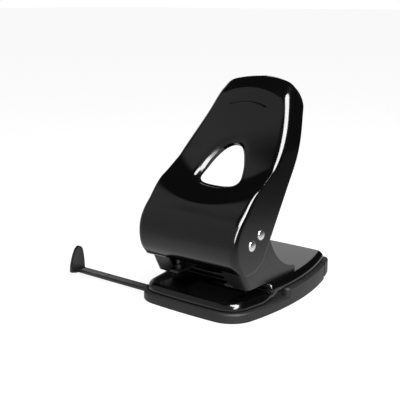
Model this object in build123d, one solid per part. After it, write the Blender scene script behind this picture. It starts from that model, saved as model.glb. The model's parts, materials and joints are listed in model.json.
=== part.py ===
from build123d import *
import math
import os

# Two-hole punch for filing holes. X runs right, Y runs back, Z runs up, in millimetres.
# The origin is the middle of the underside, on the surface that the punch stands on.

# Plan outline shared by the plastic base, the rear block and, drawn in, by the steel plate
BASE_FRONT = 83.0          # origin to the front corners
BASE_REAR = 95.0           # origin to the rear corners
BASE_HALF_FRONT = 55.5     # half width at the front corners, before rounding
BASE_HALF_MIDDLE = 65.0    # half width at the widest place
BASE_HALF_REAR = 45.2      # half width at the rear corners, before rounding
FRONT_BOW = 2.3            # how far the front edge bows out
REAR_BOW = 1.2             # how far the rear edge bows out
FRONT_CORNER = 26.0        # rounding of the front corners in plan
REAR_CORNER = 7.0          # rounding of the rear corners in plan

# Rubber pad under the base
PAD_THICK = 1.4
PAD_PROUD = 0.6            # how far the pad stands below the plastic
PAD_INSET = 16.0           # plan outline to the edge of the pad
PAD_CORNER = 6.0           # rounding of its rear corners

# Chip tray, moulded plastic
TRAY_REAR = 75.8           # where the tray ends and the rear block begins
TRAY_WALL = 2.4
TRAY_FLOOR = 2.4
TRAY_RIM = 8.6             # height of the low front rim above the tray's underside
TRAY_RIM_REAR = 16.2       # height of the raised rear rim above the tray's underside
TRAY_RIM_STEP_Y = -12.0    # where the raised rear rim begins
TRAY_RIM_ROUND = 2.0
TRAY_STEP_ROUND = 4.6      # rounding in plan of the raised rear rim's front ends
TRAY_LEDGE = 2.0           # thickness of the rim's top
TRAY_LIP = 4.0             # inner lip standing above the low rim, behind the plate's skirt
TRAY_CORNER = 4.0          # rounding of the tray's rear corners in plan
LEAST_CORNER = 1.0         # rounding left where a corner is drawn in further than its radius

# Base plate, pressed steel
PLATE_THICK = 2.0
PLATE_INSET = 5.6          # plan outline to the plate's skirt
PLATE_CORNER = 15.0        # rounding of the plate's rear corners, before it is drawn in
TABLE_Z = 17.0             # table that the paper lies on
SLOT_HEIGHT = 7.6          # paper slot, table to the frame's underside
SKIRT_GAP = 0.4            # skirt to the rim below it
PLATE_ROUND = 2.6          # rounding of the plate's top edges
PLATE_LIP = 1.4            # how far the skirt's lower edge turns out
PLATE_LIP_THICK = 1.0
SKIRT_BEND_FRONT = -46.0   # the skirt's lower edge begins to rise here
SKIRT_BEND_REAR = -20.0    # and is level again here

# Holes in the paper
HOLE_SPACING = 80.0
HOLE_RADIUS = 2.75
HOLE_MARGIN = 12.0         # hole centre to the paper's edge
DIE_CLEARANCE = 0.10
GUIDE_CLEARANCE = 0.06

# Lever pivot and crank
PIVOT_Y = -57.1
PIVOT_Z = 66.0
CRANK = 15.2               # pivot axle to drive axle
CRANK_REST = 28.2          # degrees above the horizontal at rest
PRESS_ANGLE = 45.0         # degrees from rest to fully pressed
AXLE_RADIUS = 3.5
AXLE_CLEARANCE = 0.06
AXLE_HEAD_RADIUS = 4.9
AXLE_HEAD = 1.6
CRANK_SLACK = 0.30         # drive axle to the slots that it moves in

# Handle, pressed steel shell
HANDLE_HALF = 54.0         # outside half width up to the shoulder
HANDLE_SHEET = 1.5
FOLD_ROUND = 9.0           # outside radius where the face turns into the flanks
SIDE_GAP = 0.3             # flank to cheek
APRON_BOTTOM = 43.0        # lower edge of the front apron
APRON_ARCH = 2.0           # how far that edge rises in the middle
FLANK_BOTTOM = 39.5        # lowest point of the flanks
FLANK_CORNER = 11.0        # rounding of the flanks' lower rear corner
HOLE_SIDE = 48.8           # radius of the finger hole's bowed sides
HOLE_SIDE_X = 27.0         # centre of each bow, beyond the middle
HOLE_SIDE_S = -11.2        # and along the slope from the hole's middle
HOLE_BELOW = 19.3          # hole's middle to its lower edge, along the slope
HOLE_CORNER = 10.0         # rounding of the hole's lower corners
HOLE_TIP = 15.0            # rounding of its tip
HOLE_RIM = 5.0             # depth of the turned-in rim
HOLE_SLOPE = 52.0          # slope of the face around the hole, in degrees
HOLE_Y = -21.6             # middle of the finger hole
HOLE_Z = 125.8

# Frame, bent steel
FRAME_SHEET = 2.0
FRAME_BEND = 6.0           # outside radius of the bend between cheek and flange
FLANGE_INNER = 30.0        # inner edge of each front flange, from the middle
FLANGE_FOOT_Y = -58.5      # front of the flange at the slot
FLANGE_TOP_Y = -69.1       # front of the flange at its top
FLANGE_TOP_Z = 45.0
FLANGE_CHAMFER = 8.0
FRAME_REAR = 18.4          # rear end of the cheeks' feet
FRAME_TOE = 4.6            # height of that end
CHEEK_NOSE = 14.0          # radius of the cheek around the pivot
CHEEK_NOSE_LOW = 225.0     # direction from the pivot where that rounding begins, in degrees
CHEEK_MARGIN = 4.5         # steel around the drive axle's slot
CHEEK_NECK = (-24.5, 64.0) # where the cheek's concave rear edge begins
CHEEK_WAIST = (-8.9, 42.0) # a place on that edge
WEB_REAR = 14.0            # rear edge of the frame's bottom
WEB_LAP = 0.5              # its front edge, behind the front of the flanges' feet
WEB_CUT_HALF = 27.0        # half width of the opening in the web's front
WEB_CUT_MARGIN = 5.0       # web in front of that opening's rear edge, behind the riser

# Frame rivets
RIVET_RADIUS = 2.5
RIVET_HEAD = 4.5
RIVET_HEAD_HEIGHT = 1.7
RIVET_X = 32.0
RIVET_ROWS = (-14.0, 6.0)

# Punch pins, guides, dies and return springs
YOKE_WIDTH = 8.0           # yoke across X
YOKE_WALL = 2.7            # steel around the yoke's slot
PIN_TIP_HOLD = 0.8         # pin tip above the frame's underside at rest
PIN_TIP_NOTCH = 1.2
BUSH_RADIUS = 5.0
BUSH_FLANGE = 8.0
BUSH_FLANGE_THICK = 2.0
BUSH_HEIGHT = 9.4
DIE_OUTER = 6.0
DIE_FLANGE = 7.5
DIE_FLANGE_THICK = 2.0
WASHER_THICK = 1.5
WASHER_RADIUS = 6.4
SPRING_WIRE = 1.2
SPRING_RADIUS = 4.9        # to the middle of the wire
SPRING_TURNS = 8
SPRING_SEAT_GAP = 0.3

# Rear block and the tray's hinge
BLOCK_GAP = 0.4            # tray to rear block
BLOCK_WALL = 2.6
BLOCK_GROUND_GAP = 2.2     # also the tray's room to swing
BOSS_HALF = 38.0           # raised middle of the block, under the deck
BOSS_REAR_GAP = 0.6        # that middle to the plate's rear skirt
BLOCK_SCREW_X = 15.0
BLOCK_SCREW_Y = 82.0
BLOCK_SCREW_RADIUS = 1.7
BLOCK_SCREW_HEAD = 3.2
BLOCK_SCREW_HEAD_HEIGHT = 1.9
BLOCK_SCREW_SKIN = 0.5     # deck left above the screw's blind hole
HINGE_Y = 78.6
HINGE_RADIUS = 1.5
HINGE_CLEARANCE = 0.06
KNUCKLE_RADIUS = 2.9
KNUCKLE_FROM = 24.0        # knuckles along X
KNUCKLE_TO = 34.0
EAR_THICK = 3.0
EAR_GAP = 0.4
EAR_RADIUS = 2.4           # within the circle that the tray's rear wall turns about

# Paper guide
GUIDE_STOP_X = 148.5       # stop face to the middle, half the length of a long paper edge
GUIDE_WIDTH = 10.5
GUIDE_THICK = 3.0
GUIDE_REAR_Y = -59.4
GUIDE_FLOOR_GAP = 0.4
GUIDE_SLACK = 0.3
GUIDE_LENGTH = 118.0
GUIDE_TRAVEL = 84.0
STOP_THICK = 2.6
STOP_WIDTH = 19.0
STOP_TOP = 30.5
STOP_BACK_Y = -61.0
STOP_SHOULDER = 0.7        # part of the stop's height where its sides are two thirds as wide
KEEPER_FROM = -45.0        # keeper's foot along X
KEEPER_TO = -31.0
KEEPER_ARM = 6.5           # width of its arm over the guide
KEEPER_REACH = 9.0         # how far the arm reaches over the guide
KEEPER_THICK = 1.6
KEEPER_FOOT = 8.0
KEEPER_SCREW_EDGE = 3.4    # screw to the end of the foot
KEEPER_SCREW_RADIUS = 1.2
KEEPER_SCREW_HEAD = 2.2
KEEPER_SCREW_HEAD_HEIGHT = 1.4
KEEPER_SCREW_DEPTH = 1.0

# Heights and places that follow
TRAY_Z = PAD_PROUD
FLOOR_Z = TRAY_Z + TRAY_FLOOR
RIM_Z = TRAY_Z + TRAY_RIM
RIM_REAR_Z = TRAY_Z + TRAY_RIM_REAR
LIP_INSET = PLATE_INSET + PLATE_THICK + SKIRT_GAP
RIM_WIDTH = LIP_INSET + TRAY_WALL
SKIRT_Z = RIM_Z + SKIRT_GAP
SKIRT_REAR_Z = RIM_REAR_Z + SKIRT_GAP
DECK_Z = TABLE_Z + SLOT_HEIGHT
UNDER_DECK = DECK_Z - PLATE_THICK
WEB_TOP = DECK_Z + FRAME_SHEET
DRIVE_Y = PIVOT_Y + CRANK * math.cos(math.radians(CRANK_REST))
DRIVE_Z = PIVOT_Z + CRANK * math.sin(math.radians(CRANK_REST))
PIN_Y = PIVOT_Y + CRANK * (1 + math.cos(math.radians(CRANK_REST))) / 2
PIN_X = HOLE_SPACING / 2
RISER_Y = PIN_Y + HOLE_MARGIN
HANDLE_INNER = HANDLE_HALF - HANDLE_SHEET
CHEEK_OUTER = HANDLE_INNER - SIDE_GAP
CHEEK_INNER = CHEEK_OUTER - FRAME_SHEET
CRANK_SLOT = 2 * (AXLE_RADIUS + CRANK_SLACK)
PIN_SWAY = CRANK * (1 - math.cos(math.radians(CRANK_REST))) / 2
YOKE_SLOT_LENGTH = CRANK_SLOT + 2 * PIN_SWAY + CRANK_SLACK
YOKE_HEIGHT = CRANK_SLOT + 2 * YOKE_WALL
YOKE_BOTTOM = DRIVE_Z - YOKE_HEIGHT / 2
BUSH_TOP = DECK_Z + BUSH_HEIGHT
WASHER_BOTTOM = YOKE_BOTTOM - WASHER_THICK
GUIDE_Z = FLOOR_Z + GUIDE_FLOOR_GAP
GUIDE_FRONT_Y = GUIDE_REAR_Y - GUIDE_WIDTH
BLOCK_FRONT = TRAY_REAR + BLOCK_GAP
BLOCK_SEAT = RIM_REAR_Z - TRAY_LEDGE
HINGE_Z = TRAY_Z + KNUCKLE_RADIUS
WIDE = 2 * BASE_HALF_MIDDLE + 20
TALL = 260.0

# Heights along the handle. Each row is the height, the place of the folds, the place of the
# face's middle and the half width. The face is scooped between 98 and 130, above the apron.
HANDLE_STATIONS = (
    (36.0, -66.0, -66.6, HANDLE_HALF),
    (44.0, -73.5, -74.2, HANDLE_HALF),
    (53.0, -80.0, -80.8, HANDLE_HALF),
    (65.0, -82.4, -83.2, HANDLE_HALF),
    (76.0, -80.8, -81.6, HANDLE_HALF),
    (87.0, -74.6, -75.3, HANDLE_HALF),
    (96.0, -65.4, -65.0, HANDLE_HALF),
    (104.0, -58.2, -46.5, HANDLE_HALF),
    (111.0, -49.8, -33.5, HANDLE_HALF),
    (119.0, -37.0, -26.5, HANDLE_HALF),
    (129.0, -21.5, -19.0, HANDLE_HALF),
    (142.0, -8.0, -8.6, 52.4),
    (156.0, 3.8, 2.6, 49.0),
    (172.0, 14.8, 12.6, 43.8),
    (186.0, 22.6, 18.6, 39.4),
    (193.0, 27.4, 22.4, 35.0),
    (198.0, 32.6, 27.0, 27.0),
    (200.5, 36.6, 31.6, 17.0),
)
HANDLE_BACK = 64.0         # plane behind the handle that closes its sections
FLANK_LOW_Y = -52.0        # flanks' lowest stretch
FLANK_REAR_LOW = (-42.0, 47.4)
FLANK_REAR_HIGH = (38.0, 176.0)
FLANK_CROWN = (44.5, 188.0)
FLANK_CROWN_ROUND = 9.0


def bow_circle(first, middle, last):
    """Centre and radius of the circle through three places."""
    (ax, ay), (bx, by), (cx, cy) = first, middle, last
    twice = 2 * (ax * (by - cy) + bx * (cy - ay) + cx * (ay - by))
    a_sq, b_sq, c_sq = ax * ax + ay * ay, bx * bx + by * by, cx * cx + cy * cy
    x = (a_sq * (by - cy) + b_sq * (cy - ay) + c_sq * (ay - by)) / twice
    y = (a_sq * (cx - bx) + b_sq * (ax - cx) + c_sq * (bx - ax)) / twice
    return x, y, math.hypot(ax - x, ay - y)


def plan_outline(inset, rear=None, corner=REAR_CORNER):
    """The base's plan outline: four bowed edges drawn in by inset, cut off straight at rear."""
    front_right = (BASE_HALF_FRONT, -BASE_FRONT)
    rear_right = (BASE_HALF_REAR, BASE_REAR)
    front_left = (-BASE_HALF_FRONT, -BASE_FRONT)
    rear_left = (-BASE_HALF_REAR, BASE_REAR)
    bows = (
        (front_left, (0, -BASE_FRONT - FRONT_BOW), front_right),
        (front_right, (BASE_HALF_MIDDLE, 0), rear_right),
        (rear_right, (0, BASE_REAR + REAR_BOW), rear_left),
        (rear_left, (-BASE_HALF_MIDDLE, 0), front_left),
    )
    outline = Pos(0, 0, 0) * Rectangle(4 * WIDE, 4 * WIDE)
    for first, middle, last in bows:
        x, y, radius = bow_circle(first, middle, last)
        outline = outline & Pos(x, y, 0) * Circle(radius - inset)
    if rear is not None:
        outline = outline & Pos(0, rear - 2 * WIDE, 0) * Rectangle(4 * WIDE, 4 * WIDE)
    outline = fillet(outline.vertices().sort_by(Axis.Y)[:2], FRONT_CORNER - inset)
    return fillet(outline.vertices().sort_by(Axis.Y)[-2:], max(corner - inset, LEAST_CORNER))


def upright(outline, z_from, z_to):
    """A plan outline raised between two heights."""
    return extrude(Pos(0, 0, z_from) * outline, amount=z_to - z_from)


def across(outline, x_from, x_to):
    """A side outline, drawn in Y and Z, carried between two places along X."""
    return extrude(Plane.YZ.offset(x_from) * outline, amount=x_to - x_from)


def block(x, y, z):
    """A box given by its lowest and highest places along each axis."""
    size = (x[1] - x[0], y[1] - y[0], z[1] - z[0])
    middle = Pos((x[0] + x[1]) / 2, (y[0] + y[1]) / 2, (z[0] + z[1]) / 2)
    return middle * Box(*size)


def post(x, y, z_from, z_to, radius):
    """An upright round bar."""
    return Pos(x, y, (z_from + z_to) / 2) * Cylinder(radius, z_to - z_from)


def rod(y, z, x_from, x_to, radius):
    """A round bar along X."""
    turned = Rot(0, 90, 0) * Cylinder(radius, x_to - x_from)
    return Pos((x_from + x_to) / 2, y, z) * turned


def chip_tray():
    """The plastic base: floor, double-walled rim with a raised rear, and hinge knuckles."""
    outline = plan_outline(0, TRAY_REAR, TRAY_CORNER)
    inside = plan_outline(RIM_WIDTH, TRAY_REAR - RIM_WIDTH, TRAY_CORNER)
    lip = plan_outline(LIP_INSET, TRAY_REAR - LIP_INSET, TRAY_CORNER)
    core = plan_outline(TRAY_WALL, TRAY_REAR - TRAY_WALL, TRAY_CORNER)
    rear_half = block((-WIDE, WIDE), (TRAY_RIM_STEP_Y, WIDE), (0, TALL))

    low = upright(outline, TRAY_Z, RIM_Z)
    low = fillet(low.faces().sort_by(Axis.Z)[-1].edges(), TRAY_RIM_ROUND)
    high = upright(outline, TRAY_Z, RIM_REAR_Z) & rear_half
    front_edges = high.edges().filter_by(Axis.Z).group_by(Axis.Y)[0]
    high = fillet(front_edges, TRAY_STEP_ROUND)
    high = fillet(high.faces().sort_by(Axis.Z)[-1].edges(), TRAY_RIM_ROUND)
    tray = low + high + upright(lip, TRAY_Z, RIM_Z + TRAY_LIP)
    tray -= upright(inside, FLOOR_Z, TALL)

    groove = core - lip
    tray -= upright(groove, 0, RIM_Z - TRAY_LEDGE)
    core_rear = block((-WIDE, WIDE), (TRAY_RIM_STEP_Y + TRAY_WALL, WIDE), (0, TALL))
    tray -= upright(groove, 0, RIM_REAR_Z - TRAY_LEDGE) & core_rear
    tray -= base_pad()

    tray -= block((-WIDE, GUIDE_TRAVEL + GUIDE_LENGTH - GUIDE_STOP_X + 2 * GUIDE_SLACK),
                  (GUIDE_FRONT_Y - GUIDE_SLACK, GUIDE_REAR_Y + GUIDE_SLACK),
                  (GUIDE_Z - GUIDE_SLACK, GUIDE_Z + GUIDE_THICK + GUIDE_SLACK))
    for screw_x, screw_y in keeper_screw_places():
        tray -= post(screw_x, screw_y, FLOOR_Z - KEEPER_SCREW_DEPTH, FLOOR_Z, KEEPER_SCREW_RADIUS)

    for side in (-1, 1):
        span = sorted((side * KNUCKLE_FROM, side * KNUCKLE_TO))
        barrel = rod(HINGE_Y, HINGE_Z, span[0], span[1], KNUCKLE_RADIUS)
        arm = block(span, (TRAY_REAR - TRAY_WALL, HINGE_Y),
                    (HINGE_Z - KNUCKLE_RADIUS, HINGE_Z + KNUCKLE_RADIUS))
        tray += barrel + arm
    bore = KNUCKLE_TO + EAR_GAP
    tray -= rod(HINGE_Y, HINGE_Z, -bore, bore, HINGE_RADIUS + HINGE_CLEARANCE)
    return tray


def base_pad():
    """The rubber sheet let into the tray's underside, in front of its rear wall."""
    outline = plan_outline(PAD_INSET, TRAY_REAR - RIM_WIDTH, PAD_INSET + PAD_CORNER)
    return upright(outline, 0, PAD_THICK)


def tray_hinge_pin():
    """The pin that the tray swings on, held in the rear block's ears."""
    reach = KNUCKLE_TO + EAR_GAP + EAR_THICK
    return rod(HINGE_Y, HINGE_Z, -reach, reach, HINGE_RADIUS)


def skirt_edge():
    """Everything below the skirt's lower edge, which rises in an S from front to rear."""
    half = (SKIRT_BEND_REAR - SKIRT_BEND_FRONT) / 2
    rise = (SKIRT_REAR_Z - SKIRT_Z) / 2
    middle = (SKIRT_BEND_FRONT + half, SKIRT_Z + rise)
    with BuildSketch() as below:
        with BuildLine():
            start = Line((-WIDE, SKIRT_Z), (SKIRT_BEND_FRONT, SKIRT_Z))
            first = TangentArc(start @ 1, middle, tangent=start % 1)
            second = TangentArc(middle, (SKIRT_BEND_REAR, SKIRT_REAR_Z), tangent=first % 1)
            end = Line(second @ 1, (WIDE, SKIRT_REAR_Z))
            Polyline(end @ 1, (WIDE, -TALL), (-WIDE, -TALL), start @ 0)
        make_face()
    return across(below.sketch, -WIDE, WIDE)


def base_plate():
    """The pressed plate: low table in front, riser, raised deck behind and a skirt around."""
    outline = plan_outline(PLATE_INSET, corner=PLATE_CORNER)
    hollow = plan_outline(PLATE_INSET + PLATE_THICK, corner=PLATE_CORNER)
    lip = plan_outline(PLATE_INSET - PLATE_LIP, corner=PLATE_CORNER)
    deck_part = block((-WIDE, WIDE), (RISER_Y, WIDE), (0, TALL))

    table = upright(outline, SKIRT_Z, TABLE_Z)
    table = fillet(table.faces().sort_by(Axis.Z)[-1].edges(), PLATE_ROUND)
    deck = upright(outline, SKIRT_Z, DECK_Z) & deck_part
    deck = fillet(deck.edges().filter_by(Axis.Z).group_by(Axis.Y)[0], PLATE_ROUND)
    deck = fillet(deck.faces().sort_by(Axis.Z)[-1].edges(), PLATE_ROUND)
    turned_out = upright(lip, SKIRT_Z, TABLE_Z) & Pos(0, 0, PLATE_LIP_THICK) * skirt_edge()
    plate = table + deck + turned_out

    low_hollow = block((-WIDE, WIDE), (-WIDE, RISER_Y + PLATE_THICK), (0, TABLE_Z - PLATE_THICK))
    high_hollow = block((-WIDE, WIDE), (RISER_Y + PLATE_THICK, WIDE), (0, UNDER_DECK))
    plate -= upright(hollow, 0, TALL) & (low_hollow + high_hollow)
    plate -= skirt_edge()

    for side in (-1, 1):
        plate -= post(side * PIN_X, PIN_Y, 0, TALL, DIE_OUTER)
        for rivet_y in RIVET_ROWS:
            plate -= post(side * RIVET_X, rivet_y, 0, TALL, RIVET_RADIUS)
        screw_top = DECK_Z - BLOCK_SCREW_SKIN
        plate -= post(side * BLOCK_SCREW_X, BLOCK_SCREW_Y, 0, screw_top, BLOCK_SCREW_RADIUS)
    return plate


def rear_block():
    """The plastic end block: the rim's rear end, a raised middle under the deck and the hinge ears."""
    behind = block((-WIDE, WIDE), (BLOCK_FRONT, WIDE), (0, TALL))
    hood = upright(plan_outline(0), BLOCK_GROUND_GAP, RIM_REAR_Z) & behind
    hood = fillet(hood.faces().sort_by(Axis.Z)[-1].edges().sort_by(Axis.Y)[1:], TRAY_RIM_ROUND)
    hood -= upright(plan_outline(BLOCK_WALL), 0, BLOCK_SEAT)

    boss_rear = BASE_REAR - PLATE_INSET - PLATE_THICK - BOSS_REAR_GAP
    boss = block((-BOSS_HALF, BOSS_HALF), (BLOCK_FRONT, boss_rear), (BLOCK_SEAT, UNDER_DECK))
    ears = []
    for side in (-1, 1):
        span = sorted((side * (KNUCKLE_TO + EAR_GAP), side * (KNUCKLE_TO + EAR_GAP + EAR_THICK)))
        ears.append(block(span, (BLOCK_FRONT, BASE_REAR - BLOCK_WALL / 2), (HINGE_Z, BLOCK_SEAT)))
        ears.append(rod(HINGE_Y, HINGE_Z, span[0], span[1], EAR_RADIUS))
    whole = hood + boss + ears
    whole -= rod(HINGE_Y, HINGE_Z, -BOSS_HALF, BOSS_HALF, HINGE_RADIUS)
    for side in (-1, 1):
        whole -= post(side * BLOCK_SCREW_X, BLOCK_SCREW_Y, 0, UNDER_DECK, BLOCK_SCREW_RADIUS)
    return whole


def rear_block_screws():
    """The two screws that hold the rear block's raised middle to the deck, from below."""
    seat = BLOCK_SEAT
    top = DECK_Z - BLOCK_SCREW_SKIN
    low = seat - BLOCK_SCREW_HEAD_HEIGHT
    screws = []
    for side in (-1, 1):
        shank = post(side * BLOCK_SCREW_X, BLOCK_SCREW_Y, seat, top, BLOCK_SCREW_RADIUS)
        head = post(side * BLOCK_SCREW_X, BLOCK_SCREW_Y, low, seat, BLOCK_SCREW_HEAD)
        screws.append(shank + head)
    return screws


def cheek_outline():
    """One cheek from the side: flange line in front, round the pivot, concave to the rear toe."""
    foot_z = DECK_Z
    pivot = (PIVOT_Y, PIVOT_Z)
    foot = (FLANGE_FOOT_Y + FRAME_BEND, foot_z)
    bend_top = (FLANGE_TOP_Y + FRAME_BEND, FLANGE_TOP_Z)
    low = math.radians(CHEEK_NOSE_LOW)
    nose_low = (PIVOT_Y + CHEEK_NOSE * math.cos(low), PIVOT_Z + CHEEK_NOSE * math.sin(low))
    nose_front = (PIVOT_Y - CHEEK_NOSE, PIVOT_Z)
    nose_top = (PIVOT_Y, PIVOT_Z + CHEEK_NOSE)
    reach = CRANK + CRANK_SLOT / 2 + CHEEK_MARGIN
    above = math.radians(CRANK_REST + CRANK_REST)
    shoulder = (PIVOT_Y + reach * math.cos(above), PIVOT_Z + reach * math.sin(above))
    level = math.radians(CRANK_REST / 2)
    far = reach + CHEEK_MARGIN
    back = (PIVOT_Y + far * math.cos(level), PIVOT_Z + far * math.sin(level))
    toe = (FRAME_REAR, foot_z + FRAME_TOE)
    with BuildSketch() as cheek:
        with BuildLine():
            Polyline(foot, bend_top, nose_low)
            ThreePointArc(nose_low, nose_front, nose_top)
            Polyline(nose_top, shoulder, back, CHEEK_NECK)
            ThreePointArc(CHEEK_NECK, CHEEK_WAIST, toe)
            Polyline(toe, (FRAME_REAR, foot_z), foot)
        make_face()
        swing = CenterArc(pivot, CRANK, CRANK_REST, -PRESS_ANGLE)
        SlotArc(swing, CRANK_SLOT, mode=Mode.SUBTRACT)
        with Locations(pivot):
            Circle(AXLE_RADIUS + AXLE_CLEARANCE, mode=Mode.SUBTRACT)
    return cheek.sketch


def front_flange():
    """The right front flange with its bend, leaning forward from the slot up to the apron."""
    front = FLANGE_FOOT_Y
    bend_x = CHEEK_OUTER - FRAME_BEND
    bend_y = front + FRAME_BEND
    turn = math.sqrt(0.5)
    inner = FRAME_BEND - FRAME_SHEET
    back = front + FRAME_SHEET
    with BuildSketch(Plane.XY.offset(DECK_Z)) as plan:
        with BuildLine():
            Line((FLANGE_INNER, front), (bend_x, front))
            outside = (bend_x + FRAME_BEND * turn, bend_y - FRAME_BEND * turn)
            ThreePointArc((bend_x, front), outside, (CHEEK_OUTER, bend_y))
            Line((CHEEK_OUTER, bend_y), (CHEEK_INNER, bend_y))
            inside = (bend_x + inner * turn, bend_y - inner * turn)
            ThreePointArc((CHEEK_INNER, bend_y), inside, (bend_x, back))
            Polyline((bend_x, back), (FLANGE_INNER, back), (FLANGE_INNER, front))
        make_face()
    lean = Vector(0, FLANGE_TOP_Y - FLANGE_FOOT_Y, FLANGE_TOP_Z - DECK_Z)
    flange = extrude(plan.sketch, amount=lean.length, dir=lean.normalized())
    corner = Polygon((FLANGE_INNER, DECK_Z), (FLANGE_INNER + FLANGE_CHAMFER, DECK_Z),
                     (FLANGE_INNER, DECK_Z + FLANGE_CHAMFER), align=None)
    return flange - extrude(Plane.XZ * corner, amount=WIDE, both=True)


def frame():
    """The bent frame: two cheeks, their turned-in front flanges and the bottom between them."""
    half = across(cheek_outline(), CHEEK_INNER, CHEEK_OUTER) + front_flange()
    bend_x = CHEEK_OUTER - FRAME_BEND
    web = block((-CHEEK_OUTER, CHEEK_OUTER), (FLANGE_FOOT_Y + FRAME_BEND, WEB_REAR), (DECK_Z, WEB_TOP))
    web += block((-bend_x, bend_x), (FLANGE_FOOT_Y + WEB_LAP, WEB_REAR), (DECK_Z, WEB_TOP))
    whole = web + half + mirror(half, about=Plane.YZ)
    cut_rear = RISER_Y + WEB_CUT_MARGIN
    whole -= block((-WEB_CUT_HALF, WEB_CUT_HALF), (-WIDE, cut_rear), (DECK_Z, WEB_TOP))
    for side in (-1, 1):
        whole -= post(side * PIN_X, PIN_Y, DECK_Z, WEB_TOP, BUSH_RADIUS)
        for rivet_y in RIVET_ROWS:
            whole -= post(side * RIVET_X, rivet_y, DECK_Z, WEB_TOP, RIVET_RADIUS)
    return whole


def frame_rivets():
    """The rivets that hold the frame's bottom to the deck, as separate solids."""
    rivets = []
    for side in (-1, 1):
        for rivet_y in RIVET_ROWS:
            shank = post(side * RIVET_X, rivet_y, UNDER_DECK, WEB_TOP, RIVET_RADIUS)
            upper = post(side * RIVET_X, rivet_y, WEB_TOP, WEB_TOP + RIVET_HEAD_HEIGHT, RIVET_HEAD)
            upper = chamfer(upper.faces().sort_by(Axis.Z)[-1].edges(), RIVET_HEAD_HEIGHT / 2)
            lower = post(side * RIVET_X, rivet_y, UNDER_DECK - RIVET_HEAD_HEIGHT, UNDER_DECK, RIVET_HEAD)
            rivets.append(shank + upper + lower)
    return rivets


def guide_bush(side):
    """The bush in the frame's bottom that guides one pin."""
    bush = post(side * PIN_X, PIN_Y, DECK_Z, BUSH_TOP, BUSH_RADIUS)
    bush += post(side * PIN_X, PIN_Y, WEB_TOP, WEB_TOP + BUSH_FLANGE_THICK, BUSH_FLANGE)
    bush -= post(side * PIN_X, PIN_Y, 0, TALL, HOLE_RADIUS + GUIDE_CLEARANCE)
    return bush


def die(side):
    """The hardened ring in the table that one pin punches into."""
    ring = post(side * PIN_X, PIN_Y, TABLE_Z - PLATE_THICK, TABLE_Z, DIE_OUTER)
    under = TABLE_Z - PLATE_THICK
    ring += post(side * PIN_X, PIN_Y, under - DIE_FLANGE_THICK, under, DIE_FLANGE)
    ring -= post(side * PIN_X, PIN_Y, 0, TALL, HOLE_RADIUS + DIE_CLEARANCE)
    return ring


def punch_pin(side):
    """One pin: notched tip, round shank and the slotted yoke that the drive axle moves."""
    tip = DECK_Z + PIN_TIP_HOLD
    pin = post(side * PIN_X, PIN_Y, tip, YOKE_BOTTOM + YOKE_WALL / 2, HOLE_RADIUS)
    notch = Polygon((PIN_Y - HOLE_RADIUS, tip), (PIN_Y + HOLE_RADIUS, tip),
                    (PIN_Y, tip + PIN_TIP_NOTCH), align=None)
    pin -= across(notch, side * PIN_X - HOLE_RADIUS, side * PIN_X + HOLE_RADIUS)
    with BuildSketch() as yoke:
        with Locations((PIN_Y, DRIVE_Z)):
            RectangleRounded(YOKE_SLOT_LENGTH + 2 * YOKE_WALL, YOKE_HEIGHT, YOKE_WALL)
            SlotOverall(YOKE_SLOT_LENGTH, CRANK_SLOT, mode=Mode.SUBTRACT)
    return pin + across(yoke.sketch, side * PIN_X - YOKE_WIDTH / 2, side * PIN_X + YOKE_WIDTH / 2)


def spring_washer(side):
    """The washer between one return spring and its pin's yoke."""
    washer = post(side * PIN_X, PIN_Y, WASHER_BOTTOM, YOKE_BOTTOM, WASHER_RADIUS)
    washer -= post(side * PIN_X, PIN_Y, 0, TALL, HOLE_RADIUS)
    return washer


def spring_point(angle, pitch):
    """Place and direction on the spring's helix at an angle in radians."""
    rate = pitch / (2 * math.pi)
    x, y = SPRING_RADIUS * math.cos(angle), SPRING_RADIUS * math.sin(angle)
    return Vector(x, y, rate * angle), Vector(-y, x, rate).normalized()


def spring_arcs(start, start_along, end, end_along):
    """Two arcs that join two places of the helix, tangent to it at both."""
    chord = end - start
    both = start_along + end_along
    spread = 2 * (1 - start_along.dot(end_along))
    across_both = chord.dot(both)
    reach = (-across_both + math.sqrt(across_both ** 2 + spread * chord.dot(chord))) / spread
    near = start + start_along * reach
    far = end - end_along * reach
    joint = (near + far) * 0.5
    first = Edge.make_tangent_arc(start, start_along, joint)
    second = Edge.make_tangent_arc(joint, far - near, end)
    return [first, second]


def spring_gap(pitch):
    """The least distance between the surfaces of neighbouring turns."""
    turn = 24
    places = [spring_point(step * 2 * math.pi / turn, pitch)[0] for step in range(2 * turn + 1)]
    gaps = []
    for i, place in enumerate(places):
        gaps += [(place - other).length for other in places[i + turn // 2:]]
    return min(gaps) - SPRING_WIRE


def return_spring(side):
    """One return spring between its guide bush and its washer, wound as one wire."""
    low = BUSH_TOP + SPRING_SEAT_GAP + SPRING_WIRE / 2
    high = WASHER_BOTTOM - SPRING_SEAT_GAP - SPRING_WIRE / 2
    pitch = (high - low) / SPRING_TURNS
    quarters = 4 * SPRING_TURNS
    edges = []
    for quarter in range(quarters):
        start, start_along = spring_point(quarter * math.pi / 2, pitch)
        end, end_along = spring_point((quarter + 1) * math.pi / 2, pitch)
        edges += spring_arcs(start, start_along, end, end_along)
    start, start_along = spring_point(0, pitch)
    section = Plane(start, z_dir=start_along) * Circle(SPRING_WIRE / 2)
    coil = sweep(section, path=Wire(edges))
    print("spring gap to itself %.2f mm" % spring_gap(pitch))
    return Pos(side * PIN_X, PIN_Y, low) * coil


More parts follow.
